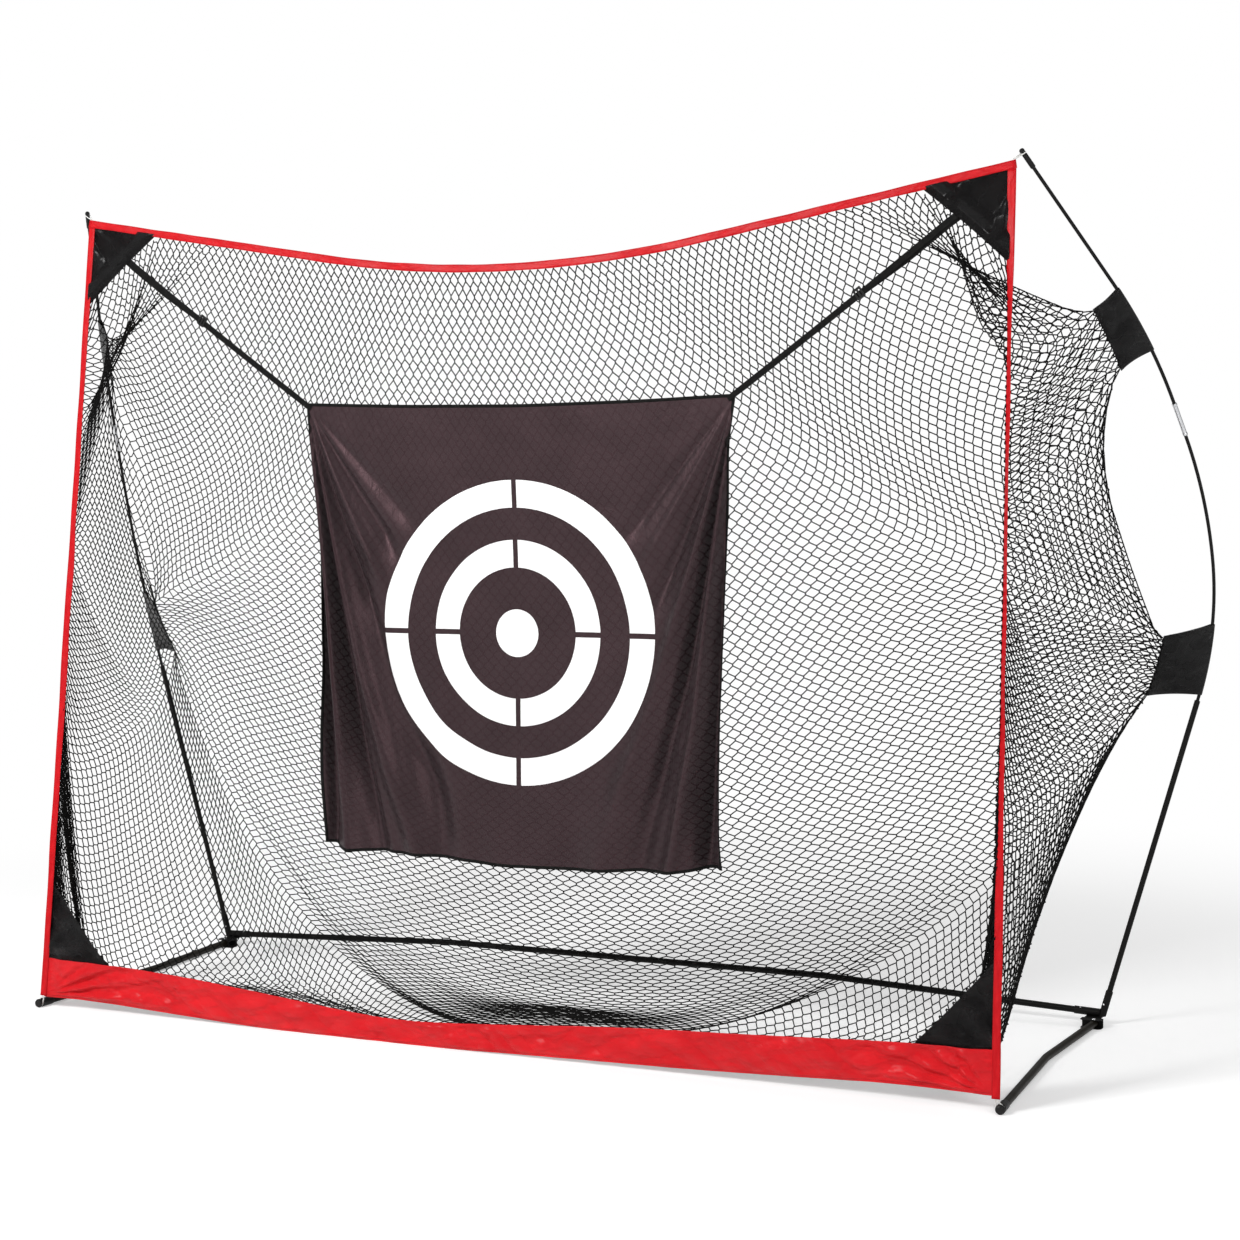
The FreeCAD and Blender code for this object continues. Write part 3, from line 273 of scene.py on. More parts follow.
def add_ribbon(name, points, across, normal, width, thick, material, body, slot):
    """A folded strip: a flat rounded section swept along a line.

    across and normal are the section's own two directions at each point.
    """
    n, k = len(points), len(SECTION)
    a, b = np.array(SECTION).T / 2
    wide = np.outer(np.broadcast_to(width, n), a)
    rings = points[:, None] + across[:, None] * wide[..., None] + normal[:, None] * (thick * b)[:, None]
    uv = np.stack([np.repeat(run_along(points)[:, None], k, 1), wide], -1)
    caps = np.array([np.arange(k)[::-1], (n - 1) * k + np.arange(k)])
    mesh = mesh_from(name, rings, [grid_faces(n, k, closed=True), caps], uv)
    return finish_piece(name, mesh, material, body)


def tube_mesh(starts, ends, radius, sides=3):
    """Points and faces of many short open tubes."""
    a, b = square_to(unit(ends - starts))
    turn = np.arange(sides) * 2 * math.pi / sides
    ring = a[:, None] * np.cos(turn)[None, :, None] + b[:, None] * np.sin(turn)[None, :, None]
    verts = np.concatenate([starts[:, None] + ring * radius, ends[:, None] + ring * radius], 1)
    base = np.arange(len(starts))[:, None] * 2 * sides
    k = np.arange(sides)
    n = (k + 1) % sides
    faces = np.stack([base + k, base + n, base + sides + n, base + sides + k], -1)
    return verts.reshape(-1, 3), faces.reshape(-1, 4)


# Materials


def add_node(tree, kind, sockets=(), **settings):
    """A shader node with these settings, its sockets set or linked."""
    made = tree.nodes.new("ShaderNode" + kind)
    for key, value in settings.items():
        setattr(made, key, value)
    for key, value in dict(sockets).items():
        if isinstance(value, bpy.types.NodeSocket):
            tree.links.new(value, made.inputs[key])
        else:
            made.inputs[key].default_value = value
    return made


class Nodes:
    """A material's node tree with short calls for the usual nodes."""

    def __init__(self, name, **values):
        self.material = bpy.data.materials.new(name)
        self.material.use_nodes = True
        self.tree = self.material.node_tree
        self.shader = self.tree.nodes["Principled BSDF"]
        for socket, value in values.items():
            self.shader.inputs[socket.replace("_", " ")].default_value = value

    def node(self, kind, sockets=(), **settings):
        return add_node(self.tree, kind, sockets, **settings)

    def place(self):
        return self.node("TexCoord").outputs["Object"]

    def flat(self):
        """The cloth's own map, in metres."""
        return self.node("UVMap", uv_map="flat").outputs[0]

    def axes(self, vector):
        return self.node("SeparateXYZ", {0: vector}).outputs[:2]

    def scaled(self, vector, scale):
        return self.node("Mapping", {"Vector": vector, "Scale": scale}).outputs[0]

    def noise(self, vector, scale, detail=3.0, rough=0.55, distortion=0.0):
        sockets = {"Vector": vector, "Scale": scale, "Detail": detail, "Roughness": rough}
        return self.node("TexNoise", {**sockets, "Distortion": distortion}).outputs["Fac"]

    def cells(self, vector, scale):
        return self.node("TexVoronoi", {"Vector": vector, "Scale": scale}).outputs["Distance"]

    def warped(self, vector, scale, amount):
        """The vector moved about by a soft noise."""
        noise = self.node("TexNoise", {"Vector": vector, "Scale": scale}).outputs["Color"]
        sockets = {0: noise, 1: (amount, amount, amount), 2: vector}
        return self.node("VectorMath", sockets, operation="MULTIPLY_ADD").outputs[0]

    def wave(self, vector, scale, way="X", distortion=0.0):
        sockets = {"Vector": vector, "Scale": scale, "Distortion": distortion}
        return self.node("TexWave", sockets, bands_direction=way).outputs["Fac"]

    def math(self, kind, a, b=0.5):
        return self.node("Math", {0: a, 1: b}, operation=kind).outputs[0]

    def mix(self, factor, a, b):
        a, b = ((*c, 1) if isinstance(c, tuple) else c for c in (a, b))
        return self.node("Mix", {0: factor, 6: a, 7: b}, data_type="RGBA").outputs[2]

    def range(self, value, low, high, to_low=0, to_high=1):
        sockets = {"Value": value, "From Min": low, "From Max": high, "To Min": to_low, "To Max": to_high}
        return self.node("MapRange", sockets).outputs[0]

    def add(self, *terms):
        """Sum of (value, weight) pairs."""
        total = None
        for value, weight in terms:
            term = self.math("MULTIPLY", value, weight)
            total = term if total is None else self.math("ADD", total, term)
        return total

    def done(self, colour, rough, height, distance, strength=1.0):
        """The material, its shader linked to this colour, roughness and height."""
        bump = self.node("Bump", {"Strength": strength, "Distance": distance, "Height": height})
        for key, source in (("Base Color", colour), ("Roughness", rough), ("Normal", bump.outputs[0])):
            self.tree.links.new(source, self.shader.inputs[key])
        return self.material


def painted_metal(name, base, warm):
    """Black powder coat: fine orange peel, dust and rubbed edges."""
    m = Nodes(name, Metallic=0.0, Specular_IOR_Level=0.09)
    place = m.place()
    peel = m.noise(place, 900, 2)
    dust = m.noise(place, 9, 5, 0.65)
    scuff = m.noise(m.scaled(place, (60, 60, 9)), 1.0, 4, 0.7)
    edge = m.range(m.node("NewGeometry").outputs["Pointiness"], 0.58, 0.7, 0.0, 0.12)
    colour = m.mix(m.range(dust, 0.35, 0.75), base, warm)
    colour = m.mix(m.range(scuff, 0.66, 0.8, 0, 0.14), colour, (0.06, 0.057, 0.054))
    colour = m.mix(edge, colour, (0.11, 0.105, 0.10))
    return m.done(colour, m.range(dust, 0.3, 0.7, 0.34, 0.52), m.add((peel, 0.5), (scuff, 0.5)), 0.0002, 0.6)


def plated_steel(name, base):
    """Bright plating, brushed along its length and a little tarnished."""
    m = Nodes(name, Metallic=1.0)
    place = m.place()
    brushed = m.noise(m.scaled(place, (2500, 2500, 60)), 1.0, 3)
    tarnish = m.noise(place, 160, 4, 0.6)
    colour = m.mix(m.range(tarnish, 0.4, 0.8), base, tuple(c * 0.7 for c in base))
    return m.done(colour, m.add((brushed, 0.25), (tarnish, 0.25)), brushed, 0.00005, 0.5)


def fibre_rod():
    """Pultruded rod: lengthwise streaks under a clear skin."""
    m = Nodes("fibre_rod", Specular_IOR_Level=0.12, Coat_Weight=0.06, Coat_Roughness=0.2)
    place = m.place()
    streak = m.noise(m.scaled(place, (1800, 1800, 22)), 1.0, 3)
    rough = m.range(m.noise(place, 14, 3), 0.3, 0.7, 0.28, 0.42)
    return m.done(m.mix(streak, (0.004, 0.004, 0.004), (0.011, 0.0105, 0.0105)), rough, streak, 0.00008, 0.6)


def moulded(name, base, rough):
    """Moulded plastic with a fine grain."""
    m = Nodes(name, Specular_IOR_Level=0.18)
    place = m.place()
    grain = m.noise(place, 1400, 2)
    cloud = m.noise(place, 60, 3)
    colour = m.mix(cloud, base, tuple(c * 1.8 + 0.002 for c in base))
    return m.done(colour, m.range(cloud, 0.3, 0.7, rough - 0.08, rough + 0.1), grain, 0.0001, 0.5)


def weave(m, uv, pitch):
    """Height of a plain weave of this pitch, from sines across each way."""
    wide, long = (m.math("SINE", m.math("MULTIPLY", way, 2 * math.pi / pitch)) for way in m.axes(uv))
    return m.math("MULTIPLY", wide, long)


def stitches(m, uv, lines, length=0.0055, width=0.0009):
    """1 on rows of stitches that run along the map's first way."""
    along, across = m.axes(uv)
    dash = m.math("GREATER_THAN", m.math("FRACT", m.math("DIVIDE", along, length)), 0.28)
    total = None
    for line in lines:
        near = m.math("LESS_THAN", m.math("ABSOLUTE", m.math("SUBTRACT", across, line)), width / 2)
        total = near if total is None else m.math("MAXIMUM", total, near)
    return m.math("MULTIPLY", dash, total)


def red_cloth(name, lines, crease, grain, shine, tone):
    """Shiny red nylon, woven, with rows of stitches and crushed creases, and painted light and shade on the
    creases.
    """
    m = Nodes(name, Specular_IOR_Level=shine, Coat_Weight=shine / 4, Coat_Roughness=0.22)
    uv, place = m.flat(), m.place()
    yarn = weave(m, uv, 0.0011)
    folded = m.cells(m.warped(m.scaled(uv, grain), 1.3, 0.9), 1.0)
    small = m.cells(m.warped(m.scaled(uv, tuple(3.1 * k for k in grain)), 1.1, 0.8), 1.0)
    fade = m.noise(place, 3.5, 3)
    sewn = stitches(m, uv, lines)
    # A lit red, the same red darkened as painted shade, and a faded red
    reds = ((1, 0.013, 0.021), (0.84, 0.007, 0.014), (0.68, 0.006, 0.013))
    lit_red, deep, faded = (tuple(tone * c for c in red) for red in reds)
    # Painted light and shade: the crease cells that make the bumps also turn the lit red into the deep,
    # shaded red
    colour = m.mix(m.range(folded, 0.1, 0.7), lit_red, deep)
    colour = m.mix(m.range(fade, 0.4, 0.7, 0, 0.3), colour, faded)
    colour = m.mix(sewn, colour, (0.42, 0.004, 0.009))
    height = m.add((yarn, 0.02), (folded, 1.0), (small, 0.28), (sewn, -0.15))
    return m.done(colour, m.range(small, 0.1, 0.7, 0.30, 0.46), height, crease)


def black_cloth():
    """Coated black polyester, shiny where it is crumpled."""
    m = Nodes("black_cloth", Specular_IOR_Level=0.30, Coat_Weight=0.12, Coat_Roughness=0.18)
    uv = m.flat()
    yarn = weave(m, uv, 0.0012)
    folded = m.noise(m.warped(m.scaled(uv, (11, 15, 1)), 0.8, 1.6), 1.0, 2.0, 0.4)
    small = m.cells(m.warped(m.scaled(uv, (20, 26, 1)), 1.1, 0.9), 1.0)
    worn = m.range(m.noise(m.scaled(uv, (160, 160, 1)), 1.0, 3), 0.3, 0.75)
    colour = m.mix(worn, (0.0016, 0.0012, 0.0014), (0.0045, 0.0034, 0.0040))
    height = m.add((yarn, 0.012), (folded, 1.0), (small, 0.16))
    return m.done(colour, m.range(small, 0.1, 0.7, 0.16, 0.30), height, 0.060)


def twine():
    """Black knotted twine, matt and a little hairy."""
    m = Nodes("twine", Specular_IOR_Level=0.07)
    place = m.place()
    fibre = m.noise(place, 1500, 3)
    shade = m.noise(place, 12, 3)
    colour = m.mix(m.add((fibre, 0.5), (shade, 0.5)), (0.002, 0.002, 0.002), (0.010, 0.0095, 0.009))
    return m.done(colour, m.range(fibre, 0.3, 0.7, 0.6, 0.85), fibre, 0.0003, 0.7)


def elastic():
    """White braided elastic."""
    m = Nodes("elastic", Sheen_Weight=0.2)
    place = m.place()
    braid = m.wave(place, 420, "DIAGONAL", 2.0)
    grime = m.noise(place, 70, 3)
    colour = m.mix(m.range(grime, 0.4, 0.8), (0.88, 0.88, 0.86), (0.68, 0.67, 0.63))
    return m.done(colour, m.range(braid, 0, 1, 0.6, 0.8), braid, 0.0004, 0.8)


def webbing():
    """Narrow black webbing with ribs across it."""
    m = Nodes("webbing", Specular_IOR_Level=0.12)
    uv = m.flat()
    rib = m.wave(uv, 260)
    chevron = m.wave(uv, 190, "DIAGONAL")
    worn = m.noise(uv, 60, 4)
    colour = m.mix(m.range(worn, 0.35, 0.75), (0.003, 0.003, 0.003), (0.010, 0.0095, 0.009))
    return m.done(colour, m.range(rib, 0, 1, 0.55, 0.75), m.add((rib, 0.6), (chevron, 0.3)), 0.0005, 0.8)


def target_satin():
    """Thin dark satin with the bull's-eye printed on it."""
    m = Nodes("target_satin", Specular_IOR_Level=0.36, Sheen_Weight=0.05, Sheen_Roughness=0.3, Alpha=0.99)
    m.shader.inputs["Sheen Tint"].default_value = (0.85, 0.62, 0.66, 1)
    m.shader.inputs["Specular Tint"].default_value = (0.95, 0.56, 0.62, 1)
    uv = m.flat()
    x, y = (m.math("DIVIDE", way, RING_R) for way in m.axes(uv))
    radius = m.math("SQRT", m.math("ADD", m.math("MULTIPLY", x, x), m.math("MULTIPLY", y, y)))
    outer, inner = (
        m.math("MULTIPLY", m.math("GREATER_THAN", radius, low), m.math("LESS_THAN", radius, high))
        for low, high in RINGS
    )
    near = m.math("MINIMUM", m.math("ABSOLUTE", x), m.math("ABSOLUTE", y))
    rings = m.math("MULTIPLY", m.math("MAXIMUM", outer, inner), m.math("GREATER_THAN", near, RING_GAP))
    white = m.math("MAXIMUM", rings, m.math("LESS_THAN", radius, RING_DOT))
    thread = m.noise(m.scaled(uv, (1500, 260, 1)), 1.0, 2)
    cloud = m.noise(uv, 5, 4)
    cloth = m.mix(m.range(cloud, 0.35, 0.7), (0.012, 0.0068, 0.0080), (0.022, 0.0130, 0.0150))
    cloth = m.mix(m.range(thread, 0.4, 0.7, 0, 0.3), cloth, (0.040, 0.027, 0.030))
    printed = m.mix(m.range(thread, 0.3, 0.8), (0.96, 0.96, 0.96), (0.88, 0.88, 0.88))
    wrinkle = m.noise(m.scaled(uv, (22, 9, 1)), 1.0, 4, 0.6, 0.8)
    height = m.add((thread, 0.03), (wrinkle, 1.0))
    return m.done(m.mix(white, cloth, printed), m.range(thread, 0.3, 0.7, 0.34, 0.48), height, 0.0035, 0.7)


FRAME_BLACK = painted_metal("frame_black", (0.003, 0.003, 0.003), (0.006, 0.0057, 0.0054))
LEG_BLACK = painted_metal("leg_black", (0.010, 0.008, 0.005), (0.017, 0.014, 0.010))
RIVET = plated_steel("rivet", (0.55, 0.55, 0.56))
BUTTON = plated_steel("button", (0.78, 0.78, 0.79))
FERRULE = plated_steel("ferrule", (0.72, 0.73, 0.75))
ROD = fibre_rod()
CAP = moulded("cap_black", (0.007, 0.007, 0.007), 0.42)
SLIDER = moulded("slider_black", (0.007, 0.007, 0.007), 0.5)
HEM_RED = red_cloth("hem_red", (-0.0085, 0.0085), 0.0016, (30, 90, 1), 0.12, 0.60)
BAND_RED = red_cloth("band_red", (0.006,), 0.018, (8, 20, 1), 0.30, 0.99)
CLOTH = black_cloth()
TWINE = twine()
ELASTIC = elastic()
WEBBING = webbing()
SATIN = target_satin()

NODE_LOOKS = {
    "leg_tube": LEG_BLACK, "leg_pin": RIVET, "button": BUTTON, "ferrule": FERRULE, "rod": ROD, "cap": CAP,
    "slider": SLIDER,
}
for node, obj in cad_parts.items():
    looks = [look for word, look in NODE_LOOKS.items() if word in node]
    obj.data.materials.clear()
    obj.data.materials.append(looks[-1] if looks else FRAME_BLACK)


# Pole sleeves: where each lies on its rod, and its two flaps to the net

SLEEVES = {
    # points up the rod's middle, then from the rod to the net at its low and its high end
    "upper": (
        ((1.72959, 0.18339, 1.94244), (1.69813, 0.12904, 2.02343), (1.66252, 0.07152, 2.10041)),
        ((-0.0687, -0.0532, -0.0544), (-0.0550, -0.0382, -0.0527)),
    ),
    "lower": (
        ((1.79794, 0.51353, 0.98558), (1.82001, 0.50909, 1.08552), (1.83447, 0.49662, 1.18618)),
        ((-0.1311, -0.0797, 0.0002), (-0.1118, -0.1032, -0.0274)),
    ),
}
SLEEVE_SHIFT = {"right": -0.09, "left": 0.12}
ROD_R = 0.00475


def sleeve_lines(place, side, share):
    """The rod's middle and the net's edge at shares of the way up a sleeve, on the right."""
    axis, flaps = (np.array(part) for part in SLEEVES[place])
    at = np.asarray(share) + SLEEVE_SHIFT[side]
    pole = np.stack([np.polyval(np.polyfit([0, 0.5, 1], axis[:, k], 2), at) for k in range(3)], -1)
    return pole, pole + flaps[0] + (flaps[1] - flaps[0]) * np.asarray(share)[:, None]


# Netting: a rectangle of diamond meshes, gathered onto the hems and pulled
# back at four places by the pole sleeves. It hangs by itself: its bars only
# pull, and the knots fall until they do.

TABS = {
    # column, first row and rows of the net's edge that a sleeve holds
    "upper": (8, 12.3, 6),
    "lower": (20, 31.1, 9),
}
LEG_LINE = ((1.524, -0.521), (1.487, 0.030), (1.508, 0.444))
START = (
    # share of the way down, and the y, z and half width of the bag there
    (0.0, -0.215, 2.20, 1.46),
    (0.15, 0.10, 1.95, 1.60),
    (0.5, 0.30, 1.05, 1.68),
    (0.8, 0.28, 0.05, 1.10),
    (0.9, -0.05, 0.02, 1.20),
    (1.0, -0.46, 0.10, 1.49),
)
# Row of meshes at which each panel between the sides ends; the floor has the rest
PANEL_ENDS = {
    "netting_roof": 13, "netting_back_upper": 28, "netting_back_middle": 44, "netting_back_lower": 62,
}
# How many times coarser the net is, how many steps it falls and how often its bars pull in each
STAGES = ((4, 260, 16), (2, 160, 16), (1, 130, 20))
SIDE_TURN = 0.66  # share of the half width where a side begins
SIDE_TOP = 2.14  # heights on the side hems between which the net is sewn
SIDE_LOW = 0.365
SIDE_POWER = 0.85
GATHER = 0.30  # how much closer the knots are sewn at the top, and for what share of the hem
GATHER_LENGTH = 0.10
CLEAR = 0.004  # between the net's edge and the mouth's plane
FOUR = (
    (slice(0, -1), slice(0, -1)),
    (slice(0, -1), slice(1, None)),
    (slice(1, None), slice(0, -1)),
    (slice(1, None), slice(1, None)),
)


def first_shape(u, v):
    """A rough bag to start from; u is -1 to 1 across, v 0 to 1 down."""
    at, ys, zs, xs = (list(column) for column in zip(*START))
    y, z, wide = np.interp(v, at, ys), np.interp(v, at, zs), np.interp(v, at, xs)
    edge_z = SIDE_TOP + (SIDE_LOW - SIDE_TOP) * v
    edge_x, edge_y = hem_x(edge_z) - HEM_WIDTH, mouth_y(edge_z)
    share = np.clip((np.abs(u) - SIDE_TURN) / (1 - SIDE_TURN), 0, 1)
    x = np.where(share > 0, wide + (edge_x - wide) * share, wide * np.abs(u) / SIDE_TURN)
    return np.stack([np.sign(u) * x, y + (edge_y - y) * share, z + (edge_z - z) * share], -1)


def knot_shares(rows, meshes):
    """Shares of the way across and down of the knots on the meshes' corners and in their middles."""
    u, v = np.meshgrid(np.linspace(0, 1, meshes + 1), np.linspace(0, 1, rows + 1))
    ub, vb = np.meshgrid((np.arange(meshes) + 0.5) / meshes, (np.arange(rows) + 0.5) / rows)
    return u, v, ub, vb


def finer(a, b, rows, meshes):
    """The same net with more meshes."""
    r, m = a.shape[0] - 1, a.shape[1] - 1
    full = np.zeros((2 * r + 1, 2 * m + 1, 3))
    full[::2, ::2], full[1::2, 1::2] = a, b
    full[::2, 1::2] = (a[:, :-1] + a[:, 1:]) / 2
    full[1::2, ::2] = (a[:-1] + a[1:]) / 2

    def sample(v, u):
        y, x = v * 2 * r, u * 2 * m
        y0 = np.clip(np.floor(y).astype(int), 0, 2 * r - 1)
        x0 = np.clip(np.floor(x).astype(int), 0, 2 * m - 1)
        fy, fx = (y - y0)[..., None], (x - x0)[..., None]
        low = full[y0, x0] * (1 - fx) + full[y0, x0 + 1] * fx
        return low * (1 - fy) + (full[y0 + 1, x0] * (1 - fx) + full[y0 + 1, x0 + 1] * fx) * fy

    u, v, ub, vb = knot_shares(rows, meshes)
    return sample(v, u), sample(vb, ub)


def side_heights(rows):
    """Heights of the knots on a side hem, with the net gathered near its top."""
    t = np.linspace(0, 1, rows + 1) ** SIDE_POWER
    t -= GATHER * GATHER_LENGTH * (1 - np.exp(-t / GATHER_LENGTH))
    return SIDE_TOP + (SIDE_LOW - SIDE_TOP) * t / t[-1]


def border(near, far, meshes):
    """Distances along an edge of the net, and x and z on the patches' long edges it ends on.

    k is the share of the way along a patch, 0 where the edge is still on the hem.
    """
    near, far = np.array(near), np.array(far)
    half = near[0] + np.linalg.norm(far - near)
    s = np.linspace(-half, half, meshes + 1)
    k = np.clip((np.abs(s) - near[0]) / (half - near[0]), 0, 1)
    return s, k, near[0] + (far[0] - near[0]) * k, near[1] + (far[1] - near[1]) * k


def top_border(meshes):
    """The net's upper edge: on the top hem, and then along the patches."""
    s, k, x, z = border(PATCHES["top"][1], PATCHES["top"][2], meshes)
    begun = np.clip(k * 5, 0, 1)
    out = 0.014 * begun
    x = np.where(k > 0, x + 0.64 * out, np.abs(s)) * np.sign(s)
    z = np.where(k > 0, z + 0.77 * out - 0.012 * (1 - begun), top_z(s) - 0.021)
    return np.stack([x, mouth_y(z) + CLEAR, z], -1)


def low_border(meshes):
    """The net's lower edge: on the band, and then along the patches."""
    s, k, x, z = border(PATCHES["bottom"][2], PATCHES["bottom"][1], meshes)
    x = np.where(k > 0, x, np.abs(s)) * np.sign(s)
    z = np.where(k > 0, z, band_top(s) - 0.006)
    return np.stack([x, np.where(k > 0.1, mouth_y(z) + CLEAR, band_y(x) + 0.009), z], -1)


def sew(a, b, factor):
    """Puts the border and the tabs' knots in place; returns which can move."""
    rows, meshes = b.shape[:2]
    free_a, free_b = np.ones(a.shape[:2]), np.ones(b.shape[:2])
    a[0] = top_border(meshes)
    z = side_heights(rows)
    side = np.stack([hem_x(z) - 0.019, mouth_y(z) + 0.003, z], -1)
    a[1:, -1], a[1:, 0] = side[1:], side[1:] * [-1, 1, 1]
    a[-1] = low_border(meshes)
    free_a[[0, -1]] = 0
    free_a[:, [0, -1]] = 0
    for place, (column, first, count) in TABS.items():
        column, first, count = round(column / factor), first / factor, count / factor
        for half, knots, free, last in ((0, a, free_a, meshes), (0.5, b, free_b, meshes - 1)):
            rows_held = np.arange(math.ceil(first - half), math.floor(first + count - half) + 1)
            share = 1 - (rows_held + half - first) / count
            knots[rows_held, last - column] = sleeve_lines(place, "right", share)[1]
            knots[rows_held, column] = sleeve_lines(place, "left", share)[1] * [-1, 1, 1]
            free[rows_held, last - column] = 0
            free[rows_held, column] = 0
    return free_a, free_b


def keep_out(knots, free, ground):
    """Keeps free knots off the floor and the legs, and behind and above the band's ends."""
    x, y, z = knots[..., 0], knots[..., 1], knots[..., 2]
    behind = band_y(x) + 0.013
    raised = (band_low(x) + 0.008) * np.clip(1 - (y - behind - 0.08) / 0.4, 0, 1)
    ground = np.maximum(ground, raised * (band_low(x) > 0.003))
    knots[..., 1] = np.where((free > 0) & (y < behind) & (z < band_top(x) + 0.012), behind, y)
    leg_x, leg_y = zip(*LEG_LINE)
    over_leg = (np.abs(np.abs(x) - np.interp(y, leg_y, leg_x)) < 0.02) & (y < 0.46)
    knots[..., 2] = np.where(free > 0, np.maximum(z, np.where(over_leg, 0.027, ground)), z)


def settle(a, b, factor, steps, pulls, rng):
    """Lets the net fall until its bars hold it."""
    bar, gravity, drag = BAR * factor, np.array([0, 0, -2e-4]), 0.96
    free_a, free_b = sew(a, b, factor)
    a += rng.normal(0, 0.002 * factor, a.shape) * free_a[..., None]
    b += rng.normal(0, 0.002 * factor, b.shape) * free_b[..., None]
    ground = [0.002 + rng.random(f.shape) * 0.006 for f in (free_a, free_b)]
    shares = []
    for r, c in FOUR:
        both = np.maximum(free_a[r, c] + free_b, 1e-9)
        shares.append(((free_a[r, c] / both)[..., None], (free_b / both)[..., None]))
    speed_a, speed_b = np.zeros_like(a), np.zeros_like(b)
    for _ in range(steps):
        speed_a, speed_b = (speed_a + gravity) * drag, (speed_b + gravity) * drag
        was_a, was_b = a.copy(), b.copy()
        a += speed_a * free_a[..., None]
        b += speed_b * free_b[..., None]
        for _ in range(pulls):
            for (r, c), (part_a, part_b) in zip(FOUR, shares):
                way = b - a[r, c]
                length = np.sqrt(np.einsum("ijk,ijk->ij", way, way)) + 1e-9
                pull = way * (np.maximum(length - bar, 0) / length)[..., None]
                a[r, c] += pull * part_a
                b -= pull * part_b
            keep_out(a, free_a, ground[0])
            keep_out(b, free_b, ground[1])
        speed_a, speed_b = a - was_a, b - was_b
        for knots, speed, low in ((a, speed_a, ground[0]), (b, speed_b, ground[1])):
            speed[knots[..., 2] <= low + 1e-4, :2] *= 0.3
    return a, b


def hang_net():
    """Hangs a net of few large meshes first, then finer ones from its shape."""
    rng = np.random.default_rng(3)
    a = b = None
    for factor, steps, pulls in STAGES[: 3]:
        rows, meshes = round(ROWS / factor), round(MESHES / factor)
        if a is None:
            u, v, ub, vb = knot_shares(rows, meshes)
            a, b = first_shape(2 * u - 1, v), first_shape(2 * ub - 1, vb)
        else:
            a, b = finer(a, b, rows, meshes)
        a, b = settle(a, b, factor, steps, pulls, rng)
    return (a, b) if a.shape[0] == ROWS + 1 else finer(a, b, ROWS, MESHES)


def net_region(row, column):
    """Which piece of the bag the mesh at this row and column is in."""
    high, low = TABS["upper"], TABS["lower"]
    edge = np.interp(row, [high[1], low[1]], [high[0], low[0]])
    pieces = {"netting_side_left": column < edge, "netting_side_right": column > MESHES - 1 - edge}
    pieces.update({name: row < end for name, end in PANEL_ENDS.items()})
    return np.select(list(pieces.values()), list(pieces), "netting_floor").ravel()


def make_net():
    """Twine and knots of the bag, in seven pieces."""
    a, b = hang_net()
    rng = np.random.default_rng(11)
    ring = np.pad(b, ((1, 1), (1, 1), (0, 0)), "edge")
    down_a = unit(ring[1:, :-1] + ring[1:, 1:] - ring[:-1, :-1] - ring[:-1, 1:])
    down_b = unit(a[1:, :-1] + a[1:, 1:] - a[:-1, :-1] - a[:-1, 1:])
    reach = KNOT_HALF * 0.6
    starts, ends = [], []
    for r, c in FOUR:
        way = -1 if r.start else 1
        starts.append((a[r, c] + down_a[r, c] * reach * way).reshape(-1, 3))
        ends.append((b - down_b * reach * way).reshape(-1, 3))
    starts, ends = np.concatenate(starts), np.concatenate(ends)
    row, column = np.meshgrid(np.arange(ROWS + 1), np.arange(MESHES + 1), indexing="ij")
    middle_owner = net_region(row[:-1, :-1], column[:-1, :-1])
    corner_owner = net_region(np.minimum(row, ROWS - 1), np.minimum(column, MESHES - 1))
    names = np.tile(middle_owner, 4)
    # A slack bar hangs in a bow of its own length
    run = ends - starts
    length = np.linalg.norm(run, axis=1)
    full = BAR - 2 * reach
    slack = length < full * 0.93
    droop = 0.42 * np.sqrt(np.maximum(full**2 - length**2, 0)) * slack
    side = unit(np.cross(run, rng.normal(0, 1, run.shape)) - [0, 0, 0.004])
    middle = (starts + ends) / 2 + side * droop[:, None]
    middle[:, 2] = np.maximum(middle[:, 2], TWINE_R)
    first = np.concatenate([starts[~slack], starts[slack], middle[slack]])
    last = np.concatenate([ends[~slack], middle[slack], ends[slack]])
    owner = np.concatenate([names[~slack], names[slack], names[slack]])
    knots = np.concatenate([a.reshape(-1, 3), b.reshape(-1, 3)])
    down = np.concatenate([down_a.reshape(-1, 3), down_b.reshape(-1, 3)])
    knot_owner = np.concatenate([corner_owner, middle_owner])
    wide, deep = square_to(down)
    fans = [(0, k + 1, (k + 1) % 4 + 1) for k in range(4)] + [(5, (k + 1) % 4 + 1, k + 1) for k in range(4)]
    least = [cad_low[0] - 0.002, cad_low[1] - 0.002, 0.0002]
    made = {}
    for name in sorted(set(owner)):
        mine = owner == name
        verts, faces = tube_mesh(first[mine], last[mine], TWINE_R)
        mine = knot_owner == name
        at, d, w, e = knots[mine], down[mine] * KNOT_HALF, wide[mine] * KNOT_R, deep[mine] * KNOT_R
        blob = np.stack([at - d, at + w, at + e, at - w, at - e, at + d], 1).reshape(-1, 3)
        base = len(verts) + np.arange(len(at))[:, None] * 6
        blobs = np.concatenate([base + np.array(fan) for fan in fans])
        points = np.clip(np.concatenate([verts, blob]), least, np.array([*cad_high]) + 0.002)
        made[name] = finish_piece(name, mesh_from(name, points, [faces, blobs]), TWINE, "frame")
        made[name]["meshes"] = int(mine.sum())
    return made


NET_NODES = {
    "netting_roof": ("net_roof_left", "net_roof_middle", "net_roof_right"),
    "netting_back_upper": ("net_back_upper",),
    "netting_back_middle": ("net_back_middle",),
    "netting_back_lower": ("net_back_lower",),
    "netting_floor": ("net_floor",),
    "netting_side_right": ("net_side_right", "net_gusset_right"),
    "netting_side_left": ("net_side_left", "net_gusset_left"),
}
net = make_net()
for name, nodes in NET_NODES.items():
    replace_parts(net[name], *nodes)


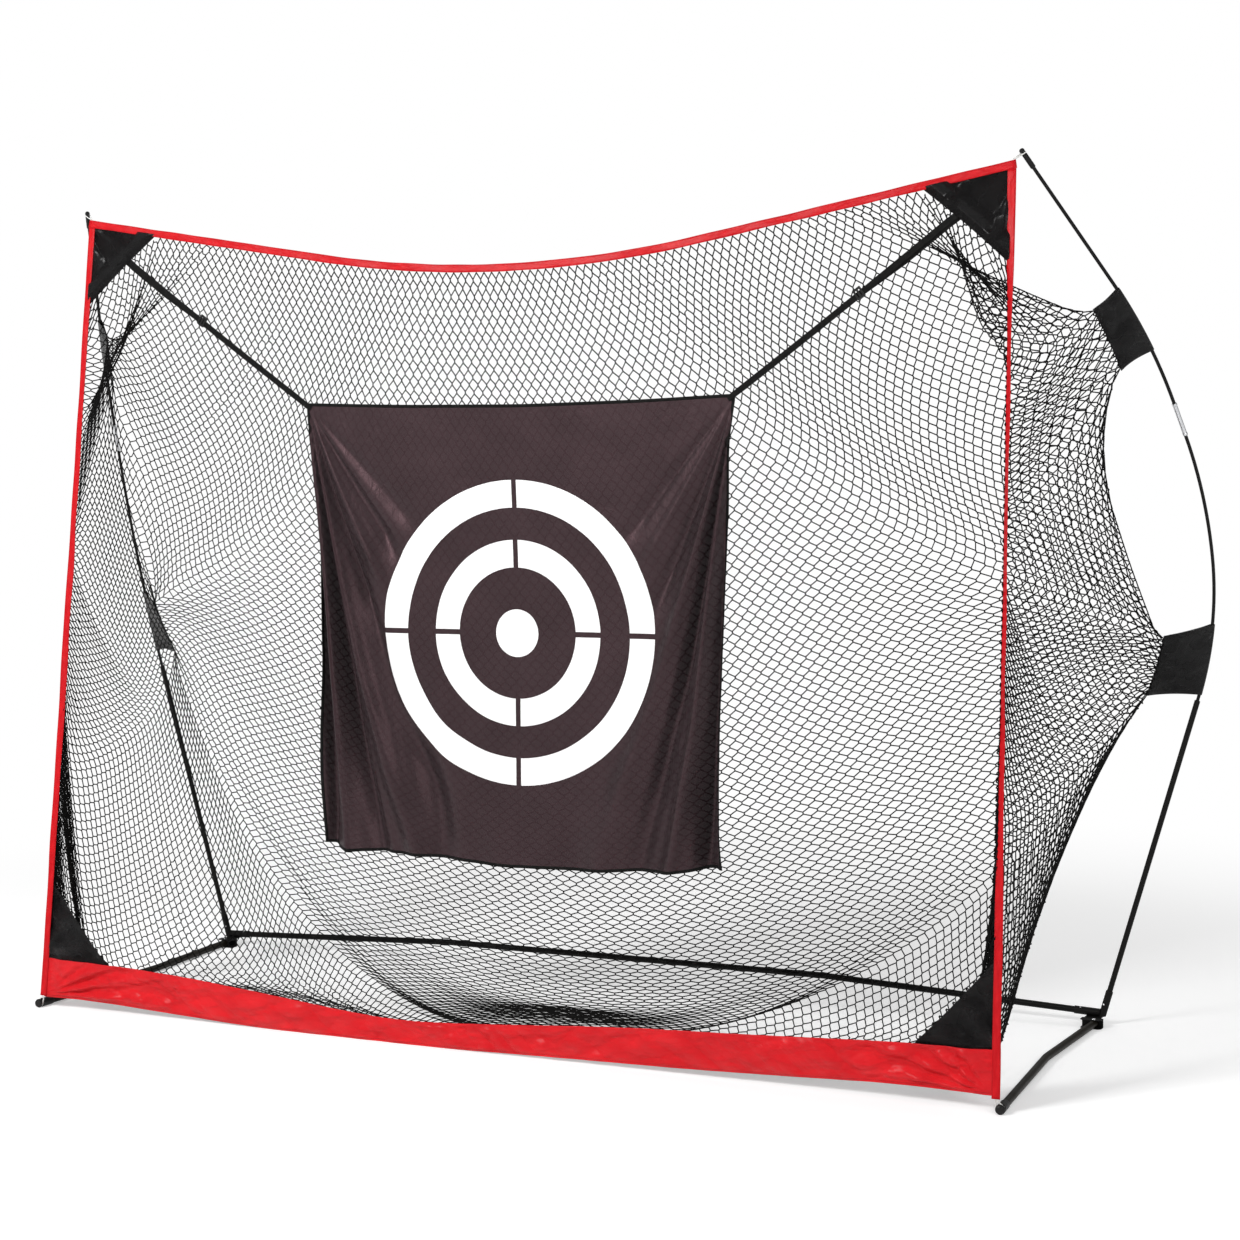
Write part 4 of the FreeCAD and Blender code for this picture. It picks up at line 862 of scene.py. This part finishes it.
# Hems


def on_mouth(x, z, ahead=0.0):
    """Points in the mouth's plane, or this far ahead of it."""
    x, z = np.broadcast_arrays(x, z)
    return np.stack([x, mouth_y(z) - ahead * math.cos(LEAN), z + ahead * math.sin(LEAN)], -1)


def add_hem(name, points, lift, roll, width):
    """A red strip in the mouth's plane, lifted off it and rolled about its own line."""
    normal = np.broadcast_to([0.0, -math.cos(LEAN), math.sin(LEAN)], points.shape)
    across = np.cross(normal, unit(np.gradient(points, axis=0)))
    points = points + normal * lift[:, None]
    turn = roll[:, None]
    tilt = across * np.cos(turn) + normal * np.sin(turn)
    face = normal * np.cos(turn) - across * np.sin(turn)
    return add_ribbon(name, points, tilt, face, width, HEM_THICK, HEM_RED, "frame", "red_webbing")


def make_top_hem():
    x = np.linspace(-CORNER_X, CORNER_X, 260)
    ripple = wave(np.random.default_rng(21), 5, 9, 42)
    away = np.minimum(1, (CORNER_X - np.abs(x)) / 0.1)
    lift = 0.0012 * ripple(x) * away
    roll = 0.10 * ripple(x * 0.7 + 3) * away
    width = HEM_WIDTH * (0.98 + 0.03 * ripple(x * 1.3 + 1))
    return add_hem("hem_strip_top", on_mouth(x, top_z(x) - HEM_WIDTH / 2), lift, roll, width)


SIDE_TWIST = {
    # height and turn in degrees of the side hems
    "right": ((0.0, 0), (0.40, 4), (0.75, 34), (1.20, 50), (1.60, 52), (2.00, 46), (2.22, 6), (2.42, 0)),
    "left": ((0.0, 0), (0.5, 5), (1.0, -7), (1.5, 6), (2.0, 10), (2.42, 0)),
}


def make_side_hem(side, sign):
    z = np.linspace(CORNER_Z - HEM_WIDTH, HEM_LOW_Z, 240)
    ripple = wave(np.random.default_rng(31 + sign), 5, 6, 30)
    at, turn = zip(*SIDE_TWIST[side])
    ends = np.minimum(1, np.minimum(z - HEM_LOW_Z, CORNER_Z - HEM_WIDTH - z) / 0.15)
    twist = sum(np.interp(z + step, at, turn) for step in (-0.08, 0, 0.08)) / 3
    roll = np.radians(twist) + 0.07 * ripple(z) * ends
    lift = 0.0012 * ripple(z + 5) * ends
    width = HEM_WIDTH * (0.99 + 0.02 * ripple(z * 1.4))
    points = on_mouth(sign * (hem_x(z) - HEM_WIDTH / 2), z)
    return add_hem("hem_strip_" + side, points, lift, roll, width)


def ridged(x, z, rng, count, step, tilt):
    """Crushed creases: sharp ridges that mostly run along x, tilted up to this angle."""
    total = np.zeros_like(x)
    for _ in range(count):
        angle = rng.uniform(-tilt, tilt)
        size = step * rng.uniform(0.6, 1.7)
        way = (z * math.cos(angle) + x * math.sin(angle)) / size
        way += 0.9 * np.sin(x * rng.uniform(4, 15) + rng.uniform(0, 6)) + rng.uniform(0, 6)
        patch = np.sin(x * rng.uniform(2.5, 9) + z * rng.uniform(-9, 9) + rng.uniform(0, 6))
        total += (1 - 2 * np.abs(np.sin(way))) * np.clip(patch + 0.3, 0, 1) * size / step
    return total / math.sqrt(count)


def make_band():
    """The band: shiny crushed cloth, its ends raised and tucked behind the side hems."""
    x = np.linspace(-BAND_HALF - 0.011, BAND_HALF + 0.011, 900)
    xx, tt = np.meshgrid(x, np.linspace(0, 1, 44))
    low, high = band_low(xx), band_top(xx)
    z = low + (high - low) * tt
    rng = np.random.default_rng(41)
    creases = ridged(xx, z, rng, 9, 0.018, 0.8)
    hold = np.minimum(1, np.minimum(tt, 1 - tt) * 5 + 0.1)
    ends = np.clip((BAND_HALF - 0.01 - np.abs(xx)) / 0.05, 0, 1)
    # From the lower corners, where the loops pull, creases fan out
    for sign in (-1, 1):
        run = np.maximum((BAND_HALF - sign * xx), 1e-3)
        fans = np.sin(19 * np.arctan((z - 0.045) / run * 1.6) + 1.5 * sign)
        creases += 1.3 * (fans * np.clip(run / 0.12, 0, 1) * np.clip((0.5 - run) / 0.3, 0, 1))
    roll = 0.006 * np.sin(np.pi * tt) * wave(rng, 4, 3, 14)(xx)
    y = band_at(xx, z) + np.minimum(0.0058 * creases * hold + roll, 0.007) * ends
    uv = np.stack([xx, (high - low) * tt], -1)
    z = z + 0.0010 * creases * hold * (tt > 0.05) * ends
    grid = np.stack([xx, y, z], -1)
    return add_sheet("band_cloth", grid[::-1], BAND_RED, "frame", BAND_THICK, uv[::-1])


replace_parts(make_top_hem(), "hem_top")
for side, sign in SIDES:
    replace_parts(make_side_hem(side, sign), "hem_side_" + side)
band = make_band()
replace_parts(band, "hem_bottom")


# Corner patches


def make_patch(place, side, sign, seed):
    """A three-cornered patch behind the hems and the band, from its right angle outward."""
    a, b, c = (np.array(p) for p in PATCHES[place])
    along = (c - b) / np.linalg.norm(c - b)
    a, b, c = a + [0.010, 0.010 if place == "top" else -0.010], b - along * 0.012, c + along * 0.012
    s, t = np.meshgrid(np.linspace(0, 1, 60), np.linspace(0, 1, 60), indexing="ij")
    flat = a + s[..., None] * ((1 - t)[..., None] * (b - a) + t[..., None] * (c - a))
    rng = np.random.default_rng(seed)
    inside = np.minimum(1, np.minimum(s * np.minimum(t, 1 - t) * 2, 1 - s) * 9)
    flat = flat + (a - flat) * 0.022 * (s**6 * np.sin(np.pi * t))[..., None]
    out = np.hypot(flat[..., 0] - a[0], flat[..., 1] - a[1])
    turn = np.arctan2(np.abs(flat[..., 1] - a[1]), np.abs(flat[..., 0] - a[0]) + 1e-4)
    rays = np.sin(9 * turn + 14 * out + rng.uniform(0, 6)) * np.clip(out / 0.08, 0, 1)
    rise = (0.0115 * crumple(flat[..., 0], flat[..., 1], rng, 0.042) + 0.003 * rays + 0.003) * inside
    grid = on_mouth(sign * flat[..., 0], flat[..., 1], -0.0022)
    if place == "top":
        rise = np.maximum(rise, 0.0058 * np.clip((s - 0.66) / 0.1, 0, 1) * np.clip((1 - s) * 9, 0, 1))
    if place == "bottom":
        low = np.clip((0.185 - flat[..., 1]) / 0.03, 0, 1)
        behind = np.maximum(grid[..., 1], band_at(flat[..., 0], flat[..., 1]) + 0.0075)
        grid[..., 1] = grid[..., 1] * (1 - low) + behind * low
        rise = rise * (1 - low)
    grid = grid + rise[..., None] * [0, -math.cos(LEAN), math.sin(LEAN)]
    if sign < 0:
        grid, flat = grid[:, ::-1], flat[:, ::-1]
    return add_sheet(f"patch_cloth_{place}_{side}", grid, CLOTH, "frame", PATCH_THICK, flat)


patches = {}
for side, sign in SIDES:
    for place in PATCHES:
        patches[place, side] = make_patch(place, side, sign, 51 + len(patches))
        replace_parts(patches[place, side], f"patch_{place}_{side}")


# The sleeves' cloth, folded round the rod, its two layers sewn to the net


def make_sleeve(place, side, sign, seed):
    """Cloth from the net round the rod and back, creased where it is pulled."""
    rows = 46
    s = np.linspace(0, 1, rows)
    pole, ends = sleeve_lines(place, side, s)
    along = unit(np.gradient(pole, axis=0))
    way = ends - pole
    reach = np.linalg.norm(way, axis=1, keepdims=True)
    inward = unit(way - along * (way * along).sum(1, keepdims=True))
    normal = np.cross(along, inward)
    # The columns run from the net, round the rod and back to the net
    round_r = ROD_R + 0.0018
    flap, turn = np.linspace(1, 0.07, 26), np.radians(np.linspace(80, -80, 15))
    gap = 0.0009 + (round_r - 0.0009) * (1 - flap) ** 2.2
    t = np.concatenate([flap, 0 * turn, flap[::-1]])
    off = np.concatenate([gap, round_r * np.sin(turn), -gap[::-1]])
    back = np.concatenate([0 * flap, round_r * np.cos(turn), 0 * flap])
    grid = pole[:, None] + way[:, None] * t[:, None]
    grid = grid + normal[:, None] * off[:, None] - inward[:, None] * back[:, None]
    t = np.tile(t, (rows, 1))
    u = (1 - t) * float(reach.mean())
    v = s[:, None] * 0.2 * np.ones_like(t)
    rng = np.random.default_rng(seed)
    creases = crumple(u * 0.55, v, rng, 0.022, 6)
    soft = np.minimum(1, t * 3) * np.minimum(1, (1.02 - t) * 6)
    grid = grid + normal[:, None] * (0.0056 * creases * soft)[..., None]
    bow = 0.004 * np.sin(np.pi * t) * np.sign(0.5 - s[:, None]) * (np.abs(s[:, None] - 0.5) * 2) ** 6
    grid = grid + along[:, None] * bow[..., None]
    grid = grid * [sign, 1, 1]
    if sign < 0:
        grid = grid[:, ::-1]
    return add_sheet(f"sleeve_cloth_{place}_{side}", grid, CLOTH, "frame", SLEEVE_THICK)


sleeves = {}
for side, sign in SIDES:
    for place in SLEEVES:
        sleeves[place, side] = make_sleeve(place, side, sign, 61 + len(sleeves))
        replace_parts(sleeves[place, side], f"sleeve_{place}_{side}")


# Target cloth, as it hangs: its outline, then folds that fan from its corners

TARGET_TOP = ((-0.69, 1.832), (-0.36, 1.820), (0.03, 1.814), (0.40, 1.820), (0.697, 1.831))
TARGET_LOW = (
    (-0.653, 0.520), (-0.60, 0.499), (-0.32, 0.496), (-0.05, 0.480), (0.22, 0.483), (0.53, 0.499),
    (0.65, 0.519),
)
TARGET_LEFT = ((0.50, -0.650), (0.62, -0.667), (0.74, -0.672), (1.04, -0.662), (1.44, -0.668), (1.84, -0.689))
TARGET_RIGHT = (
    (0.50, 0.651), (0.62, 0.637), (0.893, 0.625), (1.261, 0.645), (1.60, 0.668), (1.715, 0.678),
    (1.84, 0.698),
)
# Folds from an upper corner: angle from the plumb line, width and height
FANS = {
    "left": (
        (0.050, 0.016, 0.9), (0.105, 0.020, -0.7), (0.165, 0.022, 1.0), (0.235, 0.028, -0.8),
        (0.320, 0.034, 1.0), (0.430, 0.042, -0.6), (0.560, 0.050, 0.7), (0.760, 0.060, 0.35),
    ),
    "right": (
        (0.045, 0.015, -0.8), (0.100, 0.020, 1.0), (0.160, 0.022, -0.9), (0.225, 0.026, 0.9),
        (0.300, 0.032, -0.7), (0.400, 0.040, 0.7), (0.530, 0.045, -0.4), (0.700, 0.050, 0.5),
    ),
}


def fan(x, z, corner, side):
    """Folds that spread from an upper corner and grow away from it."""
    run = (corner[0] - x) * (1 if side == "right" else -1)
    drop = corner[1] - z
    angle = np.arctan2(run, np.maximum(drop, 1e-4))
    out = np.hypot(run, drop)
    total = np.zeros_like(x)
    for k, (turn, width, height) in enumerate(FANS[side]):
        bent = turn + 0.018 * np.sin(out * 3.2 + k) * min(1, turn * 6)
        reach = np.clip((1.95 - 1.3 * turn - out) / 0.5, 0.15, 1)
        total += height * np.exp(-(((angle - bent) / width) ** 2)) * reach
    return 0.027 * total * np.minimum(out / 0.45, 1.8) ** 0.8


def make_target():
    """The target's cloth, and the grid of its points for the border."""
    uu, vv = np.meshgrid(np.linspace(0, 1, 300), np.linspace(0, 1, 240))
    rough_x = -0.67 + 1.34 * uu
    top, low = smooth_line(TARGET_TOP, rough_x, 0.06), smooth_line(TARGET_LOW, rough_x, 0.03)
    z = top + (low - top) * vv
    left, right = smooth_line(TARGET_LEFT, z, 0.05), smooth_line(TARGET_RIGHT, z, 0.05)
    x = left + (right - left) * uu
    folds = fan(x, z, TARGET_TOP[-1], "right") + fan(x, z, TARGET_TOP[0], "left")
    folds *= np.clip((np.hypot(x - RING_CENTRE[0], z - RING_CENTRE[1]) - 0.42) / 0.10, 0.08, 1)
    rng = np.random.default_rng(71)
    lower = np.clip((1.3 - z) / 0.8, 0, 1)
    folds += 0.0065 * lower * wave(rng, 7, 14, 70)(x + 0.12 * z) * np.clip(np.abs(x) / 0.4, 0.3, 1)
    folds += 0.0016 * np.exp(-(((x - 0.005) / 0.006) ** 2)) * np.clip((1.7 - z) / 0.5, 0, 1)
    folds += 0.0014 * crumple(x, z, rng, 0.05, 6)
    edge = np.minimum(1, vv * 14)
    belly = 0.012 * np.sin(np.pi * uu) * np.sin(np.pi * np.minimum(vv * 1.1, 1))
    curl = -0.016 * np.clip((vv - 0.90) / 0.1, 0, 1) ** 2 * np.clip(1 - uu * 5, 0, 1)
    y = TARGET_Y + folds * edge + belly + curl
    grid = np.stack([x, y, z], -1)
    uv = np.stack([x - RING_CENTRE[0], z - RING_CENTRE[1]], -1)
    cloth = add_sheet("target_satin_sheet", grid[::-1], SATIN, "target", 0.0, uv[::-1])
    return cloth, grid


BINDING = (
    # its section: inward from the middle of the hem, and off the cloth
    (-0.0045, 0.0004), (-0.003, 0.0014), (0.003, 0.0014), (0.0045, 0.0006),
    (0.0045, -0.0006), (0.003, -0.0014), (-0.003, -0.0014), (-0.0045, -0.0004),
)


def make_binding(grid):
    """A narrow folded border round the target cloth."""
    rows, cols = grid.shape[:2]
    path = [(0, j) for j in range(cols)] + [(i, cols - 1) for i in range(1, rows)]
    path += [(rows - 1, j) for j in range(cols - 2, -1, -1)] + [(i, 0) for i in range(rows - 2, 0, -1)]
    i, j = (np.array(k) for k in zip(*path))
    points = grid[i, j]
    normal = unit(np.cross(np.gradient(grid, axis=0), np.gradient(grid, axis=1)))[i, j]
    inward = unit(np.cross(normal, unit(np.roll(points, -2, 0) - np.roll(points, 2, 0))))
    inward *= np.sign((inward * (grid.mean((0, 1)) - points)).sum(1, keepdims=True))
    points = points + inward * 0.004
    a, b = np.array(BINDING).T
    rings = points[:, None] + inward[:, None] * a[:, None] + normal[:, None] * b[:, None]
    n, k = len(points), len(a)
    uv = np.stack([np.repeat(run_along(points)[:, None], k, 1), np.tile(a, (n, 1))], -1)
    mesh = mesh_from("target_binding", rings, [grid_faces(n, k, closed=True, looped=True)], uv)
    return finish_piece("target_binding", mesh, WEBBING, "target")


target, target_grid = make_target()
binding = make_binding(target_grid)
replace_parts(target, "target_cloth")


# Straps of the target

STRAP_TOP = (1.3181, -0.2175, 2.2747)
STRAP_LOW = (0.684, -0.2175, 1.823)
STRAP_WIDTH = 0.018
SLIDER_SHARE = 0.4


def make_strap(side, sign):
    """A strap from under its patch to the target's corner, and the part doubled back to the slider."""
    start, end = (np.array(p) * [sign, 1, 1] for p in (STRAP_TOP, STRAP_LOW))
    way = unit(end - start)
    start, end = start - way * 0.024, end + way * 0.012
    t = np.linspace(0, 1, 120)
    tip = np.clip((t - 0.93) / 0.07, 0, 1)
    sewn = np.clip((0.06 - t) / 0.04, 0, 1)
    points = start + (end - start) * t[:, None]
    points = points + np.stack([0 * t, 0.0052 * sewn, -0.004 * np.sin(np.pi * t)], -1)
    front = points - np.stack([0 * t, 0.0022 * tip, 0 * t], -1)
    normal = np.broadcast_to([0.0, -1.0, 0.0], points.shape)
    across = np.broadcast_to(np.cross(way, [0, -1.0, 0]), points.shape)
    look = (STRAP_THICK, WEBBING, "target", "strap_webbing")
    strap = add_ribbon(f"strap_{side}", front, across, normal, STRAP_WIDTH * (1 - 0.12 * tip), *look)
    n = round(len(t) * SLIDER_SHARE) + 2
    share = t[:n] / SLIDER_SHARE
    lift = 0.0016 + 0.0016 * np.sin(np.pi * np.minimum(share, 1))
    shift = sign * -0.007 * np.minimum(1, (1 - share) * 2.5)
    second = points[:n] - normal[:n] * lift[:, None] + across[:n] * shift[:, None]
    add_ribbon(f"strap_return_{side}", second, across[:n], normal[:n], STRAP_WIDTH, *look)
    return strap


for side, sign in SIDES:
    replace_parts(make_strap(side, sign), "target_strap_" + side)


# Elastic loops, from the caps' grooves to the hems' corners

LOOP_R = 0.0017
LOOPS = {
    # groove's centre, axis, radius to the cord's middle, where its ends meet the hem, and their spread
    "tip": (
        (1.49547, -0.18945, 2.4288), (-0.37001, -0.57802, 0.72731), 0.0062,
        (1.47363, -0.19949, 2.41393), (0.986, 0, 0.168),
    ),
    "foot": (
        (1.52313, -0.50762, 0.013), (-0.06711, 0.99775, 0.0), 0.0100,
        (1.51008, -0.50784, 0.0353), (1, 0, 0),
    ),
}


def make_loop(place, side, sign, body):
    """A cord from the hem's corner round the cap's groove and back."""
    centre, axis, radius, seat, spread = (np.array(v, float) for v in LOOPS[place])
    toward = seat - centre
    pull = unit(toward - axis * toward.dot(axis))
    across = np.cross(axis, pull)
    if across.dot(spread) < 0:
        spread = -spread
    half = math.acos(min(radius / toward.dot(pull), 0.99))
    points = [seat + spread * 0.002]
    for angle in np.linspace(half, 2 * math.pi - half, 13):
        points.append(centre + (pull * math.cos(angle) + across * math.sin(angle)) * radius)
    points.append(seat - spread * 0.002)
    curve = bpy.data.curves.new(f"elastic_loop_{place}_{side}", "CURVE")
    curve.dimensions = "3D"
    spline = curve.splines.new("NURBS")
    spline.points.add(len(points) - 1)
    for slot_point, p in zip(spline.points, points):
        slot_point.co = (p[0] * sign, p[1], p[2], 1)
    spline.order_u = 3
    spline.use_endpoint_u = True
    spline.resolution_u = 6
    curve.bevel_depth = LOOP_R
    curve.bevel_resolution = 3
    curve.use_fill_caps = True
    obj = finish_piece(curve.name, curve, ELASTIC, body)
    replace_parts(obj, f"{place}_loop_{side}")


for side, sign in SIDES:
    make_loop("tip", side, sign, "frame")
    make_loop("foot", side, sign, "foot_" + side)


# Floor, light and camera

WORLD_LIGHT = 0.36
FLOOR_GLOW = 0.36
FLOOR_FADE = (1.9, 4.2)  # distances between which the floor goes over into white


def light_path(tree, *kinds):
    """1 for a ray of either of these kinds."""
    path = add_node(tree, "LightPath")
    sockets = {k: path.outputs[kind] for k, kind in enumerate(kinds)}
    return add_node(tree, "Math", sockets, operation="MAXIMUM").outputs[0]


def make_floor():
    """A pale matte floor that a picture shows going over into the white backdrop."""
    m = Nodes("floor", Base_Color=(0.86, 0.86, 0.86, 1), Roughness=0.9, Specular_IOR_Level=0.1)
    matte = m.shader.outputs[0]
    glow = m.node("Emission", {"Strength": FLOOR_GLOW}).outputs[0]
    white = m.node("Emission").outputs[0]
    both = m.node("AddShader", {0: matte, 1: glow}).outputs[0]
    away = m.node("VectorMath", {0: m.place()}, operation="LENGTH").outputs["Value"]
    sockets = {"Value": away, "From Min": FLOOR_FADE[0], "From Max": FLOOR_FADE[1]}
    fade = m.node("MapRange", sockets, interpolation_type="SMOOTHSTEP").outputs[0]
    faded = m.node("MixShader", {0: fade, 1: both, 2: white}).outputs[0]
    seen = light_path(m.tree, "Is Camera Ray", "Is Glossy Ray")
    mixed = m.node("MixShader", {0: seen, 1: matte, 2: faded}).outputs[0]
    m.tree.links.new(mixed, m.tree.nodes["Material Output"].inputs["Surface"])
    mesh = mesh_from("floor", [(-40, -40, 0), (40, -40, 0), (40, 40, 0), (-40, 40, 0)], [[(0, 1, 2, 3)]])
    mesh.materials.append(m.material)
    add_object("floor", mesh)


def make_world():
    world = bpy.data.worlds.new("studio")
    scene.world = world
    world.use_nodes = True
    tree = world.node_tree
    light = tree.nodes["Background"]
    light.inputs["Color"].default_value = (1, 1, 1, 1)
    light.inputs["Strength"].default_value = WORLD_LIGHT
    white = add_node(tree, "Background", {"Color": (1, 1, 1, 1), "Strength": 1.0})
    seen = light_path(tree, "Is Camera Ray", "Is Transmission Ray")
    mix = add_node(tree, "MixShader", {0: seen, 1: light.outputs[0], 2: white.outputs[0]})
    tree.links.new(mix.outputs[0], tree.nodes["World Output"].inputs["Surface"])


def make_lamp(name, place, aim, size, power):
    data = bpy.data.lights.new(name, "AREA")
    data.shape = "RECTANGLE"
    data.size, data.size_y = size
    data.energy = power
    obj = add_object(name, data)
    way = Vector(aim) - Vector(place)
    obj.matrix_world = Matrix.Translation(place) @ way.to_track_quat("-Z", "Y").to_matrix().to_4x4()


def make_camera():
    data = bpy.data.cameras.new("camera")
    data.sensor_width = 36.0
    data.lens = CAMERA_LENS
    data.clip_end = 200
    obj = add_object("camera", data)
    turn = Matrix.Rotation(CAMERA_YAW, 4, "Z") @ Matrix.Rotation(math.pi / 2 + CAMERA_PITCH, 4, "X")
    obj.matrix_world = Matrix.Translation(CAMERA_AT) @ turn @ Matrix.Rotation(CAMERA_ROLL, 4, "Z")
    scene.camera = obj


make_floor()
make_world()
make_lamp("key", (-2.5, -5.5, 4.6), (0, 0, 1.0), (1.8, 1.8), 370)
make_lamp("fill", (5.0, -4.0, 2.8), (0, 0, 1.0), (2.0, 2.0), 90)
make_lamp("rim", (0.5, 4.5, 4.5), (0, 0, 1.2), (4.0, 2.0), 45)
make_camera()
scene.view_settings.view_transform = "Standard"

bpy.context.view_layer.update()
